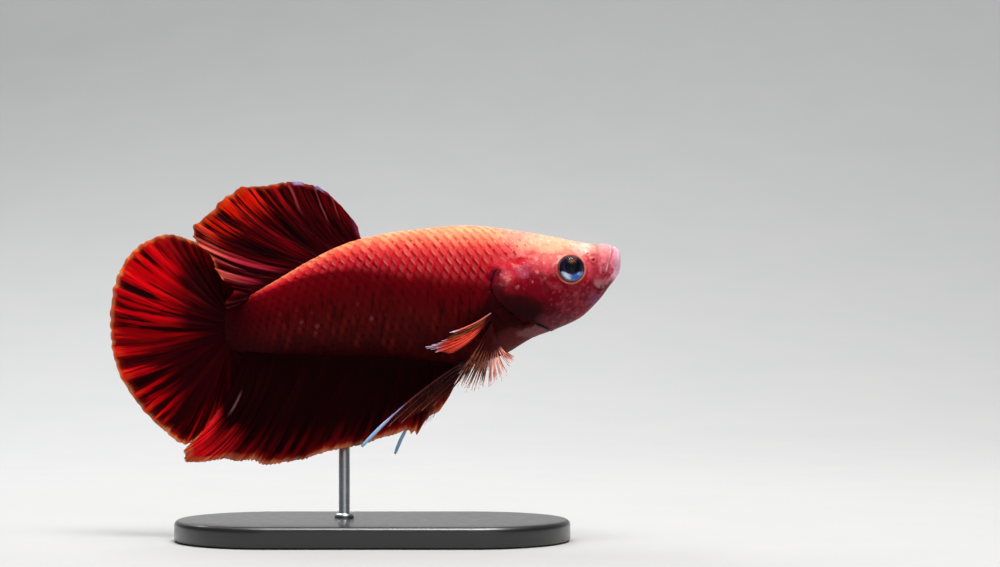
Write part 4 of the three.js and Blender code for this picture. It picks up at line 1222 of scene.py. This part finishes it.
# Places of the rays across the fin: the folded upper lobe, then the open fan.
PECTORAL_RAYS = np.array([0.0, 0.04, 0.075, 0.105, 0.135, 0.165, 0.4, 0.445, 0.49, 0.535, 0.58, 0.625, 0.68,
                          0.735, 0.79, 0.85, 0.91, 0.96, 1.0])
HAIRS = 3                  # tips that one ray forks into
HAIR_STEPS, HAIR_SIDES = 22, 6
RIPPLE = (0.25, 3)         # depth of the fan's ripple, and its turns across the fin


def curved(rows, u, v, ripple, turns):
    """Quadratic Bezier ray from root over middle to tip, at u across the fin, with a ripple away
    from the body that grows outwards."""
    place = spline(rows, u)
    root, middle, tip = place[..., 0:3], place[..., 3:6], place[..., 6:9]
    v = v[..., None]
    point = root * (1 - v) ** 2 + middle * 2 * v * (1 - v) + tip * v**2
    point[..., 1] += ripple * v[..., 0] * wave(turns, 0, u)
    return point


def tubes(paths, radius, flat=1.0):
    """Round tubes along many paths at once: a ring round every point, square to the path, its one
    half axis shortened by flat; both ends closed."""
    along = unit(np.gradient(paths, axis=1))
    side = unit(np.cross(along, [0.0, 1.0, 0.0]))
    other = np.cross(side, along)
    spin = np.arange(HAIR_SIDES) / HAIR_SIDES * TAU
    ring = side[:, :, None] * np.cos(spin)[:, None] + other[:, :, None] * (np.sin(spin) * flat)[:, None]
    points = paths[:, :, None] + ring * radius[:, :, None, None]
    count, steps = paths.shape[:2]
    tube = [grid(steps, HAIR_SIDES, True)[0], *end_caps(steps, HAIR_SIDES)]
    return points, repeated(tube, count, steps * HAIR_SIDES)


def fin_marks(start, scale):
    """Places across and outwards on the fin, and a fine grain."""
    return start.mark("across"), start.mark("outward"), start.noise(start.place(), scale, 2.0)


def pectoral_tones(start, across, outward):
    """The fin's colours: a pink first ray, a brown-gold web, an orange-red lobe, and a fan that is
    brown behind and peach in front, all darkened at the root by painted shade from the body and gill
    cover, and white or lilac at the tips."""
    dark = shade(50, 3, 5)
    fibre = start.noise(start.vector(across * 420.0, outward * 2.0, 7.0), 1.0, 2.0).step(0.36, 0.58)
    open_fan = across.step(0.6, 0.78).mix(fibre.mix(shade(52, 18, 14), shade(124, 68, 50)),
                                          fibre.mix(shade(176, 84, 72), shade(246, 164, 144)))
    gold = across.step(0.015, 0.03).mix(shade(212, 96, 88),
                                        fibre.mix(shade(84, 28, 18), shade(150, 76, 42)))
    lobe = across.step(0.075, 0.105).mix(gold, fibre.mix(shade(148, 18, 16), shade(248, 84, 60)))
    body = across.step(0.2, 0.3).mix(lobe, open_fan)
    # painted shade from the body and the gill cover darkens the roots
    root = (across.step(0.04, 0.0) * 0.9).mix(dark, shade(200, 110, 110))
    colour = (outward - across.step(0.22, 0.3) * 0.18).step(0.12, 0.36).mix(root, body)
    tip = outward.step(0.78, 1.0)
    return tip.mix(colour, across.step(0.3, 0.2).mix(shade(250, 216, 206), shade(222, 206, 236)))


brush_paint, start = new_material("pectoral_ray")
across, outward, grain = fin_marks(start, 900.0)
colour = pectoral_tones(start, across, outward + (grain - 0.5) * 0.2)
finish_material(start, Base_Color=colour, Roughness=0.5 + 0.1 * grain, Specular_IOR_Level=0.05)

veil_paint, start = new_material("pectoral_web")
across, outward, grain = fin_marks(start, 700.0)
colour = pectoral_tones(start, across, outward * 0.75)
lobe = across.step(0.24, 0.2)
open_fan = (1.0 - lobe) * across.between(0.36, 0.42, 0.62, 0.8)
fibre = start.noise(start.vector(across * 260.0, outward * 3.0, 3.0), 1.0, 2.0)
fan_cover = open_fan * 0.5 * outward.between(0.22, 0.42, 0.5, 0.85)
cover = lobe * (0.85 - 0.4 * outward.step(0.45, 0.85)) + fan_cover
cover = cover * (0.55 + 0.45 * fibre.step(0.35, 0.55))
finish_material(start, Base_Color=colour, Roughness=0.5 + 0.1 * grain, Specular_IOR_Level=0.03, Alpha=cover)

hair_draw = np.random.default_rng(31)
ray_place = np.repeat(PECTORAL_RAYS, HAIRS)
hair_index = np.tile(np.arange(HAIRS), len(PECTORAL_RAYS))
hair_count = len(ray_place)
hair_length = hair_draw.uniform(0.86, 1.04, hair_count) * (1 - 0.22 * bump(ray_place - 0.055, 0.03))
hair_sway = hair_draw.uniform(-1, 1, hair_count)
hair_v = np.linspace(0, 1, HAIR_STEPS)[None, :] * hair_length[:, None]
fork_step = np.where(ray_place < 0.25, 0.008, 0.014 - 0.008 * smooth(0.55, 0.7, ray_place))
spread = (hair_index - (HAIRS - 1) / 2) * fork_step
hair_u = np.clip(ray_place[:, None] + spread[:, None] * smooth(0.3, 0.85, hair_v), 0, 1)
hair_paths = curved(PECTORAL, hair_u, hair_v, *RIPPLE)
hair_paths[..., 1] += 0.12 * hair_sway[:, None] * hair_v**2
hair_paths[..., 0] += 0.22 * hair_sway[:, None] * hair_v**3
hair_radius = 0.095 - 0.055 * np.linspace(0, 1, HAIR_STEPS)[None, :] ** 0.8 * np.ones((hair_count, 1))

VEIL_SIZE = (160, 34)
VEIL_HALF = 0.02           # half the thickness of the clear web


def veil(surface, size, margin):
    """Points, faces and marks of a thin web on a surface out to its margin."""
    u = np.broadcast_to(np.linspace(0, 1, size[0])[:, None], size)
    v = np.linspace(0, 1, size[1])[None, :] * margin(u)
    middle = surface(u, v)
    normal = unit(np.cross(np.gradient(middle, axis=0), np.gradient(middle, axis=1)))
    points, faces, _ = closed_sheet(middle, normal * VEIL_HALF)
    return points, faces, {"across": two_faced(u), "outward": two_faced(v)}


# the web stops short of the rays' tips, in shallow scallops
for side, name in SIDES:
    turned = np.array([1, side, 1])
    brush = add_piece("pectoral_rays_" + name, *tubes(hair_paths * turned, hair_radius), brush_paint, None,
                      {"across": np.repeat(hair_u, HAIR_SIDES), "outward": np.repeat(hair_v, HAIR_SIDES)})
    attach(brush, "root")
    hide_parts("pectoral_fin_" + name)
    points, faces, web_marks = veil(
        lambda u, v: curved(PECTORAL, u, v, *RIPPLE) * turned, VEIL_SIZE,
        lambda u: 0.72 + 0.14 * smooth(0.25, 0.2, u) - 0.1 * np.abs((u * 20) % 1 - 0.5))
    web = add_piece("pectoral_web_" + name, points, faces, veil_paint, None, web_marks)
    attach(web, "root")


# ------------------------------------------------------------------------------------------------
# The pelvic fins: a long first ray under the breast on each side, ending in a flat blue-white
# band, with four short brown rays and a narrow web behind it.
# One ray a row, the long first ray in front: x, y and z of its root, middle and tip.
PELVIC = {
    "right": np.array([
        [28.5, 1.3, -3.1, 20.9, 3.3, -7.3, 14.9, 3.2, -13.9],
        [28.7, 1.4, -3.1, 21.2, 3.3, -7.7, 15.4, 3.2, -14.1],
        [28.9, 1.4, -3.0, 22.6, 3.2, -8.1, 18.1, 3.3, -12.4],
        [29.1, 1.5, -3.0, 23.6, 3.1, -8.2, 20.5, 3.3, -10.9],
        [29.2, 1.5, -2.9, 24.6, 3.0, -8.0, 22.4, 3.2, -9.9]]),
    "left": np.array([
        [28.5, 1.3, -3.1, 20.9, 3.2, -8.3, 18.5, 2.9, -15.1],
        [28.7, 1.4, -3.1, 21.2, 3.2, -8.8, 19.1, 2.9, -15.2],
        [28.9, 1.4, -3.0, 22.0, 3.1, -9.3, 20.9, 3.0, -13.0],
        [29.1, 1.5, -3.0, 22.6, 3.0, -9.3, 21.6, 3.0, -12.7],
        [29.2, 1.5, -2.9, 23.4, 2.9, -9.2, 22.7, 3.0, -11.6]]),
}
BAND = 0.19                # half the width of the pale band
PELVIC_ACROSS = np.array([0.0, 0.28, 0.5, 0.74, 0.97])
PELVIC_LENGTHS = np.array([1.0, 0.8, 0.86, 0.8, 0.84])
PELVIC_STEPS = 40
PELVIC_RIPPLE = (0.15, 1.5)
FLATTENED = 0.45           # a ray's thickness as a share of its width

band_paint, start = new_material("pelvic_ray")
across, outward, grain = fin_marks(start, 800.0)
colour = outward.frayed(grain, 0.06).ramp(
    (0.0, 48, 4, 6), (0.4, 78, 18, 18), (0.58, 110, 44, 44),
    (0.66, 160, 146, 196), (0.82, 172, 196, 238), (1.0, 140, 204, 238))
side_tone = outward.frayed(grain, 0.2).ramp(
    (0.0, 44, 3, 6), (0.5, 70, 14, 14), (0.8, 112, 48, 34), (1.0, 160, 120, 116))
colour = across.step(0.1, 0.2).mix(colour, side_tone)
finish_material(start, Base_Color=colour, Roughness=0.4 + 0.1 * grain, Specular_IOR_Level=0.2)

pelvic_web_paint, start = new_material("pelvic_web")
across, outward, grain = fin_marks(start, 700.0)
colour = outward.frayed(grain, 0.5).step(0.4, 0.9).mix(shade(38, 2, 4), shade(104, 38, 22))
finish_material(start, Base_Color=colour, Roughness=0.45 + 0.1 * grain, Specular_IOR_Level=0.1,
                Alpha=0.55 - 0.45 * outward.step(0.3, 0.85))

for side, name in SIDES:
    turned = np.array([1, side, 1])
    rows = PELVIC[name]
    v, fork = np.meshgrid(np.linspace(0, 1, PELVIC_STEPS), PELVIC_ACROSS)
    paths = curved(rows, fork, v * PELVIC_LENGTHS[:, None], *PELVIC_RIPPLE) * turned
    main = 0.12 - 0.06 * v + (BAND - 0.05) * between(0.66, 0.84, 0.94, 1.06, v)
    radius = np.where(fork == 0, main, 0.07 - 0.045 * v)
    rays = add_piece("pelvic_rays_" + name, *tubes(paths, radius, FLATTENED), band_paint, None,
                     {"across": np.repeat(fork, HAIR_SIDES), "outward": np.repeat(v, HAIR_SIDES)})
    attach(rays, "root")
    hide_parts("pelvic_fin_" + name)
    points, faces, web_marks = veil(
        lambda u, v: curved(rows, u, v, *PELVIC_RIPPLE) * turned, (2 * PELVIC_STEPS, PELVIC_STEPS),
        lambda u: 0.74 + 0.18 * u - 0.12 * np.abs((u * 6) % 1 - 0.5))
    web = add_piece("pelvic_web_" + name, points, faces, pelvic_web_paint, None, web_marks)
    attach(web, "root")


# ------------------------------------------------------------------------------------------------
# The display stand: a round-ended plate of black lacquered wood with a softly rounded rim, and a
# thin brushed-steel rod that rises from it into the far side of the belly.
base_low, base_high = (np.array(c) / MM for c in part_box("stand_base"))
BASE_CENTRE = (base_low + base_high) / 2 - [ROOT_X, 0, ROOT_Z]
BASE_SIZE = base_high - base_low
BASE_AROUND, RIM_STEPS = 192, 8
BASE_RIM = 0.6             # radius of the rim's rounding
TOP_INSETS = (2.5, 6.0, 11.0)        # rings on the flat top, inwards from the edge


def stadium(spin, inset):
    """Round-ended outline: a half circle at each end of a straight, drawn in by the inset."""
    radius = BASE_SIZE[1] / 2 - inset
    straight = (BASE_SIZE[0] - BASE_SIZE[1]) / 2
    return np.cos(spin) * radius + np.sign(np.cos(spin)) * straight, np.sin(spin) * radius


lacquer_paint, start = new_material("stand_lacquer")
place = start.place()
x, y, z = start.axes(place)
dust = start.noise(place, 900.0, 3.0)
wood = start.noise(start.vector(x * 40.0, y * 500.0, z * 500.0), 1.0, 3.0)
colour = (wood * 0.6).mix(shade(20, 20, 22), shade(34, 32, 32))
finish_material(start, Base_Color=colour, Roughness=0.32 + 0.12 * dust, Coat_Weight=0.5,
                Coat_Roughness=0.18, Normal=start.dents(wood, 0.08, 0.00005))

curve = np.linspace(0, math.pi / 2, RIM_STEPS)
rim_inset = np.concatenate([[BASE_RIM / 2, 0.0], BASE_RIM * (1 - np.cos(curve)), TOP_INSETS])
rim_height = np.concatenate([[0.0, BASE_RIM / 2], BASE_SIZE[2] - BASE_RIM + BASE_RIM * np.sin(curve),
                             np.full(len(TOP_INSETS), BASE_SIZE[2])])
spin = (np.arange(BASE_AROUND) + 0.5) / BASE_AROUND * TAU
rings = np.stack([np.stack([*stadium(spin, inset), np.full(BASE_AROUND, height)], -1)
                  for inset, height in zip(rim_inset, rim_height)])
rings += BASE_CENTRE - [0, 0, BASE_SIZE[2] / 2]
base = ringed_piece("stand_plate", rings, lacquer_paint)
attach(base, "root")
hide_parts("stand_base")

steel_paint, start = new_material("stand_steel")
place = start.place()
x, y, z = start.axes(place)
brushed = start.noise(start.vector(x * 300.0, y * 300.0, z * 9000.0), 1.0, 2.0)
colour = brushed.mix(shade(176, 178, 182), shade(214, 216, 220))
finish_material(start, Base_Color=colour, Metallic=1.0, Roughness=0.24 + 0.14 * brushed,
                Normal=start.dents(brushed, 0.15, 0.00002))

ROD_AROUND = 48
rod_centre = (np.array(rod_low) + rod_high) / 2 / MM - [ROOT_X, 0, ROOT_Z]
rod_radius = (rod_high[0] - rod_low[0]) / 2 / MM
bottom, top = rod_low[2] / MM - ROOT_Z, rod_high[2] / MM - ROOT_Z
plate_top = base_high[2] - ROOT_Z
# Radius as a share of the rod's own, and height: a small collar where it stands on the plate.
profile = np.array([[0.9, bottom], [1.0, bottom + 0.1], [1.0, plate_top - 0.02], [1.75, plate_top],
                    [1.75, plate_top + 0.32], [1.6, plate_top + 0.45], [1.05, plate_top + 0.5],
                    [1.0, plate_top + 0.6], [1.0, top - 0.15], [0.8, top]])
spin = np.arange(ROD_AROUND) / ROD_AROUND * TAU
radius, height = profile[:, 0, None] * rod_radius, profile[:, 1, None]
rings = np.stack([rod_centre[0] + radius * np.cos(spin), rod_centre[1] + radius * np.sin(spin),
                  height + 0 * spin], -1)
rod = ringed_piece("stand_post", rings, steel_paint)
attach(rod, "root")
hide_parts("stand_rod")


# ------------------------------------------------------------------------------------------------
# The setting: a pale seamless floor that rises into a backdrop, a broad soft light overhead, a
# weaker one in front and one behind to light the fins through, and the camera level at the flank.
FLOOR_HALF, COVE_START, COVE_RADIUS, WALL_HEIGHT = 1.2, 0.15, 0.6, 1.6
bend = np.linspace(0, math.pi / 2, 24)
sweep_y = np.concatenate([[-FLOOR_HALF], COVE_START + COVE_RADIUS * np.sin(bend),
                          [COVE_START + COVE_RADIUS]])
sweep_z = np.concatenate([[0.0], COVE_RADIUS * (1 - np.cos(bend)), [WALL_HEIGHT]])
across, sweep_y = np.meshgrid(np.linspace(-FLOOR_HALF, FLOOR_HALF, 5), sweep_y)
sweep = np.stack([across, sweep_y, sweep_z[:, None] + 0 * across], -1)
quads, _ = grid(*across.shape, False)
paper_paint, start = new_material("paper")
fibre = start.noise(start.place(), 60.0, 4.0)
finish_material(start, Base_Color=fibre.mix(shade(172, 173, 174), shade(178, 178, 178)), Roughness=0.95,
                Specular_IOR_Level=0.0)
mesh = bpy.data.meshes.new("floor")
mesh.from_pydata(sweep.reshape(-1, 3).tolist(), [], quads[:, ::-1].tolist())
mesh.polygons.foreach_set("use_smooth", np.ones(len(mesh.polygons), bool))
mesh.materials.append(paper_paint)
floor = add_object("floor", mesh)
FLANK = (0.0, 0.0, 0.026)


def soft_light(name, where, size, power, tint, target=FLANK):
    """A square soft box aimed at its target."""
    lamp = bpy.data.lights.new(name, "AREA")
    lamp.size = size
    lamp.energy = power
    lamp.color = tint
    light = add_object(name, lamp)
    light.location = where
    light.rotation_euler = (Vector(target) - Vector(where)).to_track_quat("-Z", "Y").to_euler()


soft_light("key", (0.07, -0.09, 0.42), 0.2, 2.3, (1.0, 0.98, 0.95))
soft_light("fill", (0.12, -0.6, 0.12), 0.5, 0.45, (0.97, 0.98, 1.0))
soft_light("rear", (-0.12, 0.2, 0.3), 0.2, 0.8, (1.0, 1.0, 1.0))
soft_light("backdrop", (0.0, 0.1, 1.1), 0.6, 7.0, (1.0, 1.0, 1.0), (0.0, 0.75, 0.3))
world = bpy.data.worlds.new("room")
world.use_nodes = True
background = world.node_tree.nodes["Background"]
background.inputs["Color"].default_value = (0.9, 0.93, 1.0, 1.0)
background.inputs["Strength"].default_value = 0.14
bpy.context.scene.world = world
bpy.context.scene.view_settings.view_transform = "Standard"

CAMERA_PLACE = (0.01482, -0.323, 0.02989)      # square to the right flank, level with the snout
camera_data = bpy.data.cameras.new("camera")
camera_data.lens = 100
camera_data.sensor_width = 36
camera_data.clip_start = 0.01
camera = add_object("camera", camera_data)
camera.location = CAMERA_PLACE
camera.rotation_euler = (math.pi / 2, 0, 0)
bpy.context.scene.camera = camera
